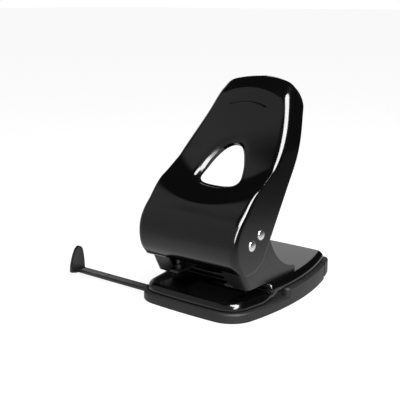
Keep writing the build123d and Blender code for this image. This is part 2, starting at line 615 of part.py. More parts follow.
def axle(y, z):
    """An axle riveted over outside both flanks."""
    bar = rod(y, z, -HANDLE_HALF, HANDLE_HALF, AXLE_RADIUS)
    for side in (-1, 1):
        span = sorted((side * HANDLE_HALF, side * (HANDLE_HALF + AXLE_HEAD)))
        head = rod(y, z, span[0], span[1], AXLE_HEAD_RADIUS)
        outer = head.faces().sort_by(Axis.X)[-1 if side > 0 else 0]
        bar += chamfer(outer.edges(), AXLE_HEAD / 2)
    return bar


def handle_section(z, fold_y, middle_y, half, rounding):
    """The right half of the handle's outline at one height, from the face to the closing plane."""
    _, centre_y, radius = bow_circle((-half, fold_y), (0, middle_y), (half, fold_y))
    bow = math.copysign(math.sqrt(radius ** 2 - (half / 2) ** 2), middle_y - centre_y)
    with BuildSketch(Plane.XY.offset(z)) as section:
        with BuildLine():
            ThreePointArc((0, middle_y), (half / 2, centre_y + bow), (half, fold_y))
            Polyline((half, fold_y), (half, HANDLE_BACK), (0, HANDLE_BACK), (0, middle_y))
        make_face()
        fillet(section.vertices().sort_by_distance((half, fold_y, z))[0], rounding)
    return section.sketch


def handle_body(inset):
    """Half the handle as a full body through its stations, drawn in by inset along the face."""
    sections = []
    last = len(HANDLE_STATIONS) - 1
    for index, (z, fold_y, middle_y, half) in enumerate(HANDLE_STATIONS):
        before = HANDLE_STATIONS[max(index - 1, 0)]
        after = HANDLE_STATIONS[min(index + 1, last)]
        run = after[1] - before[1]
        rise = after[0] - before[0]
        length = math.hypot(run, rise)
        in_y = inset * rise / length
        down = inset * run / length
        rounding = min(FOLD_ROUND, half / 2) - inset
        sections.append(handle_section(z - down, fold_y + in_y, middle_y + in_y, half - inset, rounding))
    return loft(sections)


def handle_side():
    """The handle's side outline behind the face: flanks' lower edge, rear edge and crown."""
    front = -WIDE
    low_rear = (FLANK_LOW_Y + HANDLE_SHEET, FLANK_BOTTOM)
    with BuildSketch() as side:
        with BuildLine():
            Polyline((front, APRON_BOTTOM), (HANDLE_STATIONS[1][1] + HANDLE_SHEET, APRON_BOTTOM),
                     (FLANK_LOW_Y - FLANK_CORNER, FLANK_BOTTOM), low_rear,
                     FLANK_REAR_LOW, FLANK_REAR_HIGH, FLANK_CROWN,
                     (HANDLE_STATIONS[-1][1], TALL), (front, TALL), (front, APRON_BOTTOM))
        make_face()
        low = side.vertices().sort_by_distance(low_rear)[0]
        fillet(low, FLANK_CORNER)
        crown = side.vertices().sort_by_distance(FLANK_CROWN)[0]
        fillet(crown, FLANK_CROWN_ROUND)
    return across(side.sketch, -WIDE, WIDE)


def hole_plane():
    """The plane of the face's slope at the finger hole, seen from in front."""
    slope = math.radians(HOLE_SLOPE)
    outward = (0, -math.sin(slope), math.cos(slope))
    return Plane(origin=(0, HOLE_Y, HOLE_Z), x_dir=(1, 0, 0), z_dir=outward)


def finger_hole(growth):
    """The finger hole's outline, an egg of two bows and a straight edge, moved out by growth."""
    egg = Pos(0, WIDE - HOLE_BELOW - growth, 0) * Rectangle(WIDE, 2 * WIDE)
    for side in (-1, 1):
        egg = egg & Pos(side * HOLE_SIDE_X, HOLE_SIDE_S, 0) * Circle(HOLE_SIDE + growth)
    egg = fillet(egg.vertices().sort_by(Axis.Y)[:2], HOLE_CORNER + growth)
    return hole_plane() * fillet(egg.vertices().sort_by(Axis.Y)[-1:], HOLE_TIP + growth)


def handle():
    """The lever: one pressed shell, scooped above the apron, with its turned-in finger hole."""
    half = handle_body(0)
    half_shell = half - handle_body(HANDLE_SHEET)
    outer = half + mirror(half, about=Plane.YZ)
    shell = half_shell + mirror(half_shell, about=Plane.YZ)
    ring = extrude(finger_hole(HANDLE_SHEET), amount=HANDLE_BACK, both=True)
    rim_space = hole_plane() * Pos(0, 0, HANDLE_BACK - HOLE_RIM) * Box(WIDE, WIDE, 2 * HANDLE_BACK)
    rim = ring & outer & rim_space
    shell = shell + rim - extrude(finger_hole(0), amount=HANDLE_BACK, both=True)
    shell = shell & handle_side()
    arch = HANDLE_HALF - FOLD_ROUND
    with BuildSketch(Plane.XZ) as rise:
        with BuildLine():
            crest = (0, APRON_BOTTOM + APRON_ARCH)
            lower = ThreePointArc((-arch, APRON_BOTTOM), crest, (arch, APRON_BOTTOM))
            Line(lower @ 1, lower @ 0)
        make_face()
    shell -= extrude(rise.sketch, amount=WIDE)
    for y, z in ((PIVOT_Y, PIVOT_Z), (DRIVE_Y, DRIVE_Z)):
        shell -= rod(y, z, -WIDE, WIDE, AXLE_RADIUS)
    return shell


def keeper_screw_places():
    """Where the keeper's foot is screwed down, as places in plan."""
    y = GUIDE_REAR_Y + GUIDE_SLACK + (KEEPER_THICK + KEEPER_FOOT) / 2
    return ((KEEPER_FROM + KEEPER_SCREW_EDGE, y), (KEEPER_TO - KEEPER_SCREW_EDGE, y))


def paper_guide():
    """The sliding guide: a flat bar and the upright stop that the paper's edge meets."""
    stop_x = -GUIDE_STOP_X
    bar = block((stop_x - STOP_THICK, stop_x + GUIDE_LENGTH), (GUIDE_FRONT_Y, GUIDE_REAR_Y),
                (GUIDE_Z, GUIDE_Z + GUIDE_THICK))
    middle = STOP_BACK_Y - STOP_WIDTH / 2
    front = STOP_BACK_Y - STOP_WIDTH
    shoulder_z = STOP_TOP * STOP_SHOULDER
    top = GUIDE_Z + GUIDE_THICK
    with BuildSketch() as tongue:
        with BuildLine():
            ThreePointArc((STOP_BACK_Y, top), (middle + STOP_WIDTH / 3, shoulder_z), (middle, STOP_TOP))
            ThreePointArc((middle, STOP_TOP), (middle - STOP_WIDTH / 3, shoulder_z), (front, top))
            Polyline((front, top), (front, GUIDE_Z), (STOP_BACK_Y, GUIDE_Z), (STOP_BACK_Y, top))
        make_face()
        fillet(tongue.vertices().sort_by(Axis.Y)[-1], STOP_THICK)
    return bar + across(tongue.sketch, stop_x - STOP_THICK, stop_x)


def guide_keeper():
    """The clip over the guide's bar, with its foot on the tray's floor behind the bar."""
    rear = GUIDE_REAR_Y + GUIDE_SLACK
    under = GUIDE_Z + GUIDE_THICK + GUIDE_SLACK
    arm_x = (KEEPER_TO - KEEPER_ARM, KEEPER_TO)
    clip = block((KEEPER_FROM, KEEPER_TO), (rear, rear + KEEPER_FOOT), (FLOOR_Z, FLOOR_Z + KEEPER_THICK))
    clip += block(arm_x, (rear, rear + KEEPER_THICK), (FLOOR_Z, under + KEEPER_THICK))
    clip += block(arm_x, (rear - KEEPER_REACH, rear + KEEPER_THICK), (under, under + KEEPER_THICK))
    for screw_x, screw_y in keeper_screw_places():
        clip -= post(screw_x, screw_y, 0, TALL, KEEPER_SCREW_RADIUS)
    return clip


def keeper_screws():
    """The two small screws that hold the keeper to the tray's floor."""
    seat = FLOOR_Z + KEEPER_THICK
    screws = []
    for screw_x, screw_y in keeper_screw_places():
        shank = post(screw_x, screw_y, FLOOR_Z - KEEPER_SCREW_DEPTH, seat, KEEPER_SCREW_RADIUS)
        head = post(screw_x, screw_y, seat, seat + KEEPER_SCREW_HEAD_HEIGHT, KEEPER_SCREW_HEAD)
        screws.append(shank + head)
    return screws


def save(name, shape):
    """Write one sub-part, or a group of like pieces, to its own file."""
    if isinstance(shape, list):
        shape = Compound(children=[piece.solid() for piece in shape])
    export_step(shape, os.path.join("parts", name + ".step"))


os.makedirs("parts", exist_ok=True)
save("chip_tray", chip_tray())
save("base_pad", base_pad())
save("tray_hinge_pin", tray_hinge_pin())
save("base_plate", base_plate())
save("rear_block", rear_block())
save("rear_block_screws", rear_block_screws())
save("frame", frame())
save("frame_rivets", frame_rivets())
save("handle", handle())
save("pivot_axle", axle(PIVOT_Y, PIVOT_Z))
save("drive_axle", axle(DRIVE_Y, DRIVE_Z))
for side_name, side in (("left", -1), ("right", 1)):
    save("guide_bush_" + side_name, guide_bush(side))
    save("die_" + side_name, die(side))
    save("punch_pin_" + side_name, punch_pin(side))
    save("spring_washer_" + side_name, spring_washer(side))
    save("return_spring_" + side_name, return_spring(side))
save("paper_guide", paper_guide())
save("guide_keeper", guide_keeper())
save("keeper_screws", keeper_screws())
pressed_z = PIVOT_Z - CRANK * math.sin(math.radians(PRESS_ANGLE - CRANK_REST))
print("press stroke of the pins %.3f mm" % (DRIVE_Z - pressed_z))
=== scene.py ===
"""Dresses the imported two-hole punch: lever, plate, tray, guide, pins and springs in a plain studio.

Every piece is in metres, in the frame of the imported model: X to the right, Y to the back, Z up.
Sizes in the classes below are in millimetres, as in the part's source, and are turned to metres
where a mesh is made.
"""

import json
import logging
import math
from dataclasses import dataclass, field
from enum import Enum
from typing import Callable, Sequence

import bmesh
import bpy
import numpy as np
from mathutils import Matrix, Vector


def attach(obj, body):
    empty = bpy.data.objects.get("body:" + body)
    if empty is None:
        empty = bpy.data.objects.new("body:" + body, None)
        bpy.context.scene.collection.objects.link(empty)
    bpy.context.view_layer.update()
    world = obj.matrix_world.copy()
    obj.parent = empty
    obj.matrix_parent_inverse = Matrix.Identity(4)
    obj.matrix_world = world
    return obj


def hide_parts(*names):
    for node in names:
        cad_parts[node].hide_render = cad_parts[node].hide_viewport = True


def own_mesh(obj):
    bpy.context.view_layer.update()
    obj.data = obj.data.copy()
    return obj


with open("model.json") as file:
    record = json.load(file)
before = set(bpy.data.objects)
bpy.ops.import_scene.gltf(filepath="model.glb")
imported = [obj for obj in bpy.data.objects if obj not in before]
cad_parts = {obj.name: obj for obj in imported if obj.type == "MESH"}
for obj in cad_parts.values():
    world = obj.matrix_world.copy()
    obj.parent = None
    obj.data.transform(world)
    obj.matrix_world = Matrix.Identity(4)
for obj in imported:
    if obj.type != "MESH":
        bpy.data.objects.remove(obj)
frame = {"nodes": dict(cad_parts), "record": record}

LOG = logging.getLogger("punch")
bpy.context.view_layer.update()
MM = 0.001
MERGE_DISTANCE = 1e-6
FULL_TURN = 2 * math.pi


class Slot(Enum):
    """The record's material slots."""

    LACQUER = "black_lacquer"
    STEEL = "steel"
    PLASTIC = "dark_plastic"
    RUBBER = "rubber"


class Body(Enum):
    """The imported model's bodies that new pieces ride on."""

    BASE = "base"
    LEVER = "lever"
    GUIDE = "guide"


def deselect_all() -> None:
    """Leave nothing selected, in object mode."""
    if bpy.context.object and bpy.context.object.mode != "OBJECT":
        bpy.ops.object.mode_set(mode="OBJECT")
    bpy.ops.object.select_all(action="DESELECT")


def start_piece(name: str) -> bpy.types.Object:
    """Name the primitive that was just added and take its place into its mesh.

    Args:
        name: the piece's name.

    Returns:
        The active object, at the origin.
    """
    piece = bpy.context.object
    piece.name = name
    piece.data.name = name
    bpy.ops.object.transform_apply(location=True, rotation=True, scale=True)
    return piece


def select_only(piece: bpy.types.Object) -> None:
    """Select one piece alone and make it the active one.

    Args:
        piece: the piece.
    """
    deselect_all()
    piece.select_set(True)
    bpy.context.view_layer.objects.active = piece


def apply_modifiers(piece: bpy.types.Object) -> None:
    """Apply every modifier of a piece, in order.

    Args:
        piece: the piece.
    """
    select_only(piece)
    for modifier in list(piece.modifiers):
        bpy.ops.object.modifier_apply(modifier=modifier.name)


def smooth_piece(piece: bpy.types.Object, degrees: float) -> None:
    """Shade a piece smooth where its faces meet at less than an angle."""
    select_only(piece)
    bpy.ops.object.shade_smooth_by_angle(angle=math.radians(degrees))


def bevel_edges(piece: bpy.types.Object, width_mm: float, segments: int, degrees: float) -> None:
    """Round a piece's edges that are sharper than an angle.

    Args:
        piece: the piece to round.
        width_mm: the width of the rounding.
        segments: how many faces the rounding has.
        degrees: edges with a smaller angle are left alone.
    """
    modifier = piece.modifiers.new("rounding", "BEVEL")
    modifier.width = width_mm * MM
    modifier.segments = segments
    modifier.limit_method = "ANGLE"
    modifier.angle_limit = math.radians(degrees)
    modifier.harden_normals = False
    apply_modifiers(piece)


def outward(piece: bpy.types.Object) -> None:
    """Merge a piece's doubled points and turn its faces outwards.

    Args:
        piece: the piece.
    """
    select_only(piece)
    bpy.ops.object.mode_set(mode="EDIT")
    bpy.ops.mesh.select_all(action="SELECT")
    bpy.ops.mesh.remove_doubles(threshold=MERGE_DISTANCE)
    bpy.ops.mesh.normals_make_consistent(inside=False)
    bpy.ops.object.mode_set(mode="OBJECT")


def dress(piece: bpy.types.Object, body: Body, slot: Slot, material: bpy.types.Material,
          *nodes: str) -> None:
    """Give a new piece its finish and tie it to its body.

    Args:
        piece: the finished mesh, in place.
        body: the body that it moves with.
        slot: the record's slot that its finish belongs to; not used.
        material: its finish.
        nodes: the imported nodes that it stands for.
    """
    piece.data.materials.clear()
    piece.data.materials.append(material)
    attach(piece, body.value)
    if nodes:
        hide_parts(*nodes)
    LOG.info("%s rides on %s with %d faces", piece.name, body.value, len(piece.data.polygons))


def natural_spline(knots: Sequence[float],
                   values: Sequence[float]) -> Callable[[np.ndarray], np.ndarray]:
    """A smooth curve through values at knots, with no bend at its ends.

    Args:
        knots: rising places along the curve.
        values: the value at each knot.

    Returns:
        A function from places to values.
    """
    x = np.asarray(knots, float)
    y = np.asarray(values, float)
    h = np.diff(x)
    n = len(x)
    system = np.eye(n)
    right = np.zeros(n)
    for i in range(1, n - 1):
        system[i, i - 1:i + 2] = (h[i - 1], 2 * (h[i - 1] + h[i]), h[i])
        right[i] = 6 * ((y[i + 1] - y[i]) / h[i] - (y[i] - y[i - 1]) / h[i - 1])
    bend = np.linalg.solve(system, right)

    def curve(at: np.ndarray) -> np.ndarray:
        """The curve at some places.

        Args:
            at: the places.

        Returns:
            The value at each place.
        """
        at = np.asarray(at, float)
        i = np.clip(np.searchsorted(x, at) - 1, 0, n - 2)
        before = x[i + 1] - at
        after = at - x[i]
        cubic = (bend[i] * before ** 3 + bend[i + 1] * after ** 3) / (6 * h[i])
        low = (y[i] / h[i] - bend[i] * h[i] / 6) * before
        high = (y[i + 1] / h[i] - bend[i + 1] * h[i] / 6) * after
        return cubic + low + high

    return curve


def smoothstep(value: np.ndarray) -> np.ndarray:
    """An even S from 0 to 1."""
    value = np.clip(value, 0.0, 1.0)
    return value * value * (3 - 2 * value)


class ShaderGraph:
    """A node tree with short ways to add and join nodes."""

    def __init__(self, tree: bpy.types.NodeTree) -> None:
        """Take a tree and empty it."""
        self.tree = tree
        tree.nodes.clear()

    def feed(self, target: bpy.types.NodeSocket, value: object) -> None:
        """Join an output to an input, or set the input to a constant.

        Args:
            target: the input.
            value: an output or a constant.
        """
        if isinstance(value, bpy.types.NodeSocket):
            self.tree.links.new(value, target)
        else:
            target.default_value = value

    def node(self, kind: str, sockets: dict[str | int, object] | None = None,
             **values: object) -> bpy.types.Node:
        """Add a node.

        Args:
            kind: the node's type, without its ShaderNode prefix.
            sockets: an output or a constant for each input that is used.
            values: attributes of the node.

        Returns:
            The new node.
        """
        made = self.tree.nodes.new(kind if kind.startswith("Node") else "ShaderNode" + kind)
        for key, value in values.items():
            setattr(made, key, value)
        for key, value in (sockets or {}).items():
            self.feed(made.inputs[key], value)
        return made

    def math(self, operation: str, first: object, second: object = 0.0) -> bpy.types.NodeSocket:
        """The output of a Math node on outputs or numbers."""
        return self.node("Math", {0: first, 1: second}, operation=operation).outputs[0]

    def product(self, *factors: object) -> bpy.types.NodeSocket:
        """Multiply outputs or numbers.

        Args:
            factors: what to multiply, from left to right.

        Returns:
            The output with the product.
        """
        made = factors[0]
        for factor in factors[1:]:
            made = self.math("MULTIPLY", made, factor)
        return made

    def rest(self, share: bpy.types.NodeSocket) -> bpy.types.NodeSocket:
        """What a share leaves of 1."""
        return self.math("SUBTRACT", 1.0, share)

    def ease(self, source: bpy.types.NodeSocket, ends: tuple[float, float]) -> bpy.types.NodeSocket:
        """Turn a value into an even S that rises from 0 to 1 between two ends."""
        sockets = {"Value": source, "From Min": ends[0], "From Max": ends[1]}
        return self.node("MapRange", sockets, interpolation_type="SMOOTHSTEP").outputs["Result"]

    def spread(self, source: bpy.types.NodeSocket, onto: tuple[float, float],
               ends: tuple[float, float] = (0.0, 1.0)) -> bpy.types.NodeSocket:
        """Spread a value between two ends evenly onto a range.

        Args:
            source: the value.
            onto: what it becomes at the two ends.
            ends: the two ends.

        Returns:
            The output with the spread value.
        """
        sockets = {"Value": source, "From Min": ends[0], "From Max": ends[1]}
        sockets.update({"To Min": onto[0], "To Max": onto[1]})
        return self.node("MapRange", sockets).outputs["Result"]

    def noise(self, scale: object, detail: float, **more: float) -> bpy.types.NodeSocket:
        """A noise over the piece's own coordinates.

        Args:
            scale: how fine it is, as an output or a number.
            detail: how many finer layers it has.
            more: other inputs by name.

        Returns:
            The output with its value.
        """
        place = self.node("TexCoord").outputs["Object"]
        sockets = {"Vector": place, "Scale": scale, "Detail": detail, **more}
        return self.node("TexNoise", sockets).outputs["Fac"]

    def mix(self, share: object, first: bpy.types.Node, second: bpy.types.Node) -> bpy.types.Node:
        """Mix two shaders by a share of the second."""
        return self.node("MixShader", {0: share, 1: first.outputs[0], 2: second.outputs[0]})


class Effects:
    """Node groups that more than one finish uses."""

    DRIFT_SCALE = 0.03
    SPECK_SCALE = 40.0
    SPECK_LEAST = 0.72

    def __init__(self) -> None:
        """Build the groups once."""
        self.grain = self.make_grain()
        self.film = self.make_film()

    def new_group(self, name: str, scale: float,
                  *outputs: str) -> tuple[ShaderGraph, bpy.types.NodeSocket, bpy.types.Node]:
        """Start a group whose patterns have a scale.

        Args:
            name: the group's name.
            scale: starting value of its one input, Scale.
            outputs: names of its outputs.

        Returns:
            Its graph, its scale and its output node.
        """
        tree = bpy.data.node_groups.new(name, "ShaderNodeTree")
        socket = tree.interface.new_socket("Scale", in_out="INPUT", socket_type="NodeSocketFloat")
        socket.default_value = scale
        for label in outputs:
            tree.interface.new_socket(label, in_out="OUTPUT", socket_type="NodeSocketFloat")
        graph = ShaderGraph(tree)
        return graph, graph.node("NodeGroupInput").outputs["Scale"], graph.node("NodeGroupOutput")

    def make_grain(self) -> bpy.types.NodeTree:
        """Fine moulded or blasted grain.

        Returns:
            A group that puts out a height and a slow drift of shade.
        """
        graph, scale, result = self.new_group("fine_grain", 1800.0, "Height", "Shade")
        graph.feed(result.inputs["Height"], graph.noise(scale, detail=3.0, Roughness=0.62))
        drift = graph.noise(graph.product(scale, self.DRIFT_SCALE), detail=4.0)
        graph.feed(result.inputs["Shade"], drift)
        return graph.tree

    def make_film(self) -> bpy.types.NodeTree:
        """A faint film of handling and dust.

        Returns:
            A group that puts out long smears and small specks.
        """
        graph, scale, result = self.new_group("handling_film", 60.0, "Smear", "Speck")
        graph.feed(result.inputs["Smear"], graph.noise(scale, detail=5.0, Distortion=0.6))
        speck = graph.noise(graph.product(scale, self.SPECK_SCALE), detail=2.0)
        graph.feed(result.inputs["Speck"], graph.math("GREATER_THAN", speck, self.SPECK_LEAST))
        return graph.tree


@dataclass(frozen=True)
class Finish:
    """One finish: a Principled surface with grain, film and a slight change of shade.

    Attributes:
        name: the material's name.
        dark: the colour in the darker places.
        light: the colour in the lighter places.
        rough: roughness in the smoothest and in the roughest places.
        grain_scale: how fine the grain is.
        grain_depth: the grain's bump, in millimetres.
        film_scale: how fine the film is.
        metallic: how much of a metal it is.
        gloss: strength of its mirror part, a half for most plastics and paints.
    """

    name: str
    dark: tuple[float, float, float]
    light: tuple[float, float, float]
    rough: tuple[float, float]
    grain_scale: float
    grain_depth: float
    film_scale: float
    metallic: float = 0.0
    gloss: float = 0.5

    def material(self, effects: Effects) -> bpy.types.Material:
        """Build the material.

        Args:
            effects: the shared node groups.

        Returns:
            The material.
        """
        made = bpy.data.materials.new(self.name)
        made.use_nodes = True
        graph = ShaderGraph(made.node_tree)
        grain = graph.node("Group", {"Scale": self.grain_scale}, node_tree=effects.grain)
        film = graph.node("Group", {"Scale": self.film_scale}, node_tree=effects.film)
        shades = {0: grain.outputs["Shade"], 1: (*self.dark, 1.0), 2: (*self.light, 1.0)}
        rough = graph.spread(film.outputs["Smear"], self.rough)
        specked = graph.product(film.outputs["Speck"], self.rough[1] - self.rough[0])
        bump = graph.node("Bump", {"Strength": 1.0, "Distance": self.grain_depth * MM,
                                   "Height": grain.outputs["Height"]})
        surface = graph.node("BsdfPrincipled", {
            "Base Color": graph.node("MixRGB", shades).outputs[0],
            "Metallic": self.metallic,
            "Specular IOR Level": self.gloss,
            "Roughness": graph.math("ADD", rough, specked),
            "Normal": bump.outputs[0]})
        graph.node("OutputMaterial", {"Surface": surface.outputs[0]})
        return made


LACQUER = Finish("gloss_black_lacquer", dark=(0.0007, 0.0007, 0.00075), light=(0.0011, 0.0011, 0.00115),
                 rough=(0.10, 0.15), grain_scale=420.0, grain_depth=0.004, film_scale=45.0)
SATIN = Finish("satin_black_frame", dark=(0.007, 0.007, 0.0073), light=(0.010, 0.010, 0.0103),
               rough=(0.26, 0.36), grain_scale=1500.0, grain_depth=0.02, film_scale=70.0, gloss=0.42)
PLASTIC = Finish("grained_dark_plastic", dark=(0.0056, 0.0056, 0.0058), light=(0.0086, 0.0086, 0.0089),
                 rough=(0.46, 0.58), grain_scale=2600.0, grain_depth=0.05, film_scale=80.0, gloss=0.30)
SLIDE = Finish("smooth_dark_plastic", dark=(0.0016, 0.0016, 0.0017), light=(0.0028, 0.0028, 0.0029),
               rough=(0.30, 0.40), grain_scale=2200.0, grain_depth=0.02, film_scale=90.0)
FIELD = Finish("matt_scale_field", dark=(0.036, 0.036, 0.037), light=(0.046, 0.046, 0.047),
               rough=(0.52, 0.64), grain_scale=2400.0, grain_depth=0.03, film_scale=90.0, gloss=0.40)
STEEL = Finish("bright_plated_steel", dark=(0.78, 0.78, 0.79), light=(0.88, 0.88, 0.89),
               rough=(0.18, 0.32), grain_scale=900.0, grain_depth=0.006, film_scale=160.0, metallic=1.0)
# Near-black metal for the pins, bushes, dies, washers and springs under the lever, far darker than the plated
# steel of the rivets and axles.
TOOL_STEEL = Finish("near_black_tool_steel", dark=(0.035, 0.035, 0.037), light=(0.06, 0.06, 0.063),
                    rough=(0.30, 0.45), grain_scale=1100.0, grain_depth=0.008, film_scale=140.0, metallic=1.0)
SPRING_STEEL = Finish("near_black_spring_wire", dark=(0.020, 0.020, 0.021), light=(0.035, 0.035, 0.036),
                      rough=(0.34, 0.48), grain_scale=1400.0, grain_depth=0.01, film_scale=220.0,
                      metallic=1.0)
RUBBER = Finish("pad_rubber", dark=(0.010, 0.010, 0.010), light=(0.017, 0.017, 0.017),
                rough=(0.72, 0.88), grain_scale=1500.0, grain_depth=0.06, film_scale=90.0)


@dataclass
class FingerHole:
    """The lever's finger hole: an egg with its point up, in the slope of the face.

    Attributes:
        middle: its middle, as Y and Z.
        slope: slope of the face there, in degrees.
        outline: right half of the throat, as places across and up the slope from the middle.
        roll_radius: radius of the turned-in edge.
        roll_end: slope in degrees where the turned-in edge runs out into a straight funnel.
        funnel: width of that funnel, down to the throat.
        wall: depth of the straight wall below it, at the lower end and at the upper end.
        wall_rise: places up the slope between which the wall gets deeper.
        face_rings, roll_rings, funnel_rings, wall_rings: rings of points on the flat face around the
            hole, on the turned-in edge, on the funnel and on the wall.
    """

    middle: tuple[float, float] = (-25.8, 126.6)
    slope: float = 52.0
    outline: tuple[tuple[float, float], ...] = (
        (0.0, -20.4), (8.0, -20.2), (15.0, -19.2), (19.6, -17.0), (21.9, -13.4), (21.9, -8.0),
        (20.4, 0.0), (17.2, 8.6), (13.2, 16.4), (8.0, 22.4), (0.0, 25.2))
    roll_radius: float = 6.5
    roll_end: float = 47.0
    funnel: float = 2.2
    wall: tuple[float, float] = (1.2, 4.4)
    wall_rise: tuple[float, float] = (-17.0, 2.0)
    face_rings: int = 7
    roll_rings: int = 12
    funnel_rings: int = 5
    wall_rings: int = 3

    def reach(self) -> Callable[[np.ndarray], np.ndarray]:
        """The throat's outline all round.

        Returns:
            A function from directions in radians to distances from the middle.
        """
        right = [(math.atan2(s, x), math.hypot(x, s)) for x, s in self.outline]
        left = [(math.pi - a, r) for a, r in right[1:-1]]
        ring = sorted((a % FULL_TURN, r) for a, r in right + left)
        angles = [a for a, _ in ring]
        radii = [r for _, r in ring]
        around = [a - FULL_TURN for a in angles] + angles + [a + FULL_TURN for a in angles]
        curve = natural_spline(around, radii * 3)
        return lambda angle: curve(np.mod(angle, FULL_TURN))

    @property
    def roll_width(self) -> float:
        """How far the turned-in edge reaches outside the throat."""
        return self.roll_radius * math.sin(math.radians(self.roll_end)) + self.funnel

    def roll(self, distance: np.ndarray) -> np.ndarray:
        """How deep the turned-in edge is.

        Args:
            distance: distances outside the throat.

        Returns:
            The depth below the face at each distance.
        """
        inside = np.clip(self.roll_width - distance, 0.0, self.roll_width)
        turned = np.minimum(inside, self.roll_width - self.funnel)
        straight = (inside - turned) * math.tan(math.radians(self.roll_end))
        return self.roll_radius - np.sqrt(self.roll_radius ** 2 - turned ** 2) + straight

    def wall_at(self, s: np.ndarray) -> np.ndarray:
        """Depth of the straight wall at places up the slope."""
        share = smoothstep((s - self.wall_rise[0]) / (self.wall_rise[1] - self.wall_rise[0]))
        return self.wall[0] + (self.wall[1] - self.wall[0]) * share

    def rings(self, far: np.ndarray) -> list[tuple[np.ndarray, float]]:
        """The rings of points from the edge of the hole's patch down to the foot of its wall.

        Args:
            far: distances of the points on the patch's edge outside the throat.

        Returns:
            For each ring its points' distances outside the throat and its share of the wall's depth.
        """
        even = np.ones(len(far))
        flat = [1 - k / self.face_rings for k in range(1, self.face_rings + 1)]
        slopes = np.radians(np.linspace(0, self.roll_end, self.roll_rings + 1)[1:])
        straight = [1 - k / self.funnel_rings for k in range(1, self.funnel_rings + 1)]
        made = [self.roll_width + (far - self.roll_width) * share for share in flat]
        made += [even * (self.roll_width - self.roll_radius * math.sin(slope)) for slope in slopes]
        made += [even * self.funnel * share for share in straight]
        wall = [(even * 0.0, k / self.wall_rings) for k in range(1, self.wall_rings + 1)]
        return [(distance, 0.0) for distance in made] + wall


@dataclass(frozen=True)
class SheetRow:
    """The lever sheet's shape across one row.

    Attributes:
        middle: Y and Z in the middle of the face.
        fold: Y and Z of the sharp corner that the fold rounds.
        flank: direction of the flank behind the fold.
        rear: Y and Z of the flank's rear edge.
        half: half width of the sheet.
        radius: radius of the fold.
        turn: angle of the fold.
        length: the sharp corner to either end of the fold.
    """

    middle: np.ndarray
    fold: np.ndarray
    flank: np.ndarray
    rear: np.ndarray
    half: float
    radius: float
    turn: float
    length: float

    def face_point(self, x: float) -> np.ndarray:
        """A place on the face at a distance from the middle, as X, Y and Z."""
        y, z = self.middle + (self.fold - self.middle) * (x / self.half) ** 2
        return np.array([x, y, z])

    def face_way(self, x: float, nudge: float = 0.01) -> np.ndarray:
        """The face's direction away from the middle at a distance from it."""
        ahead = self.face_point(x + nudge) - self.face_point(x)
        return ahead / np.linalg.norm(ahead)

    def face_end(self) -> float:
        """Where the face ends and the fold begins, from the middle."""
        return self.half - self.length * math.sin(self.turn)

    def fold_end(self) -> np.ndarray:
        """Where the fold ends and the flank begins, as X, Y and Z."""
        return np.array([self.half, *(self.fold + self.flank * self.length)])


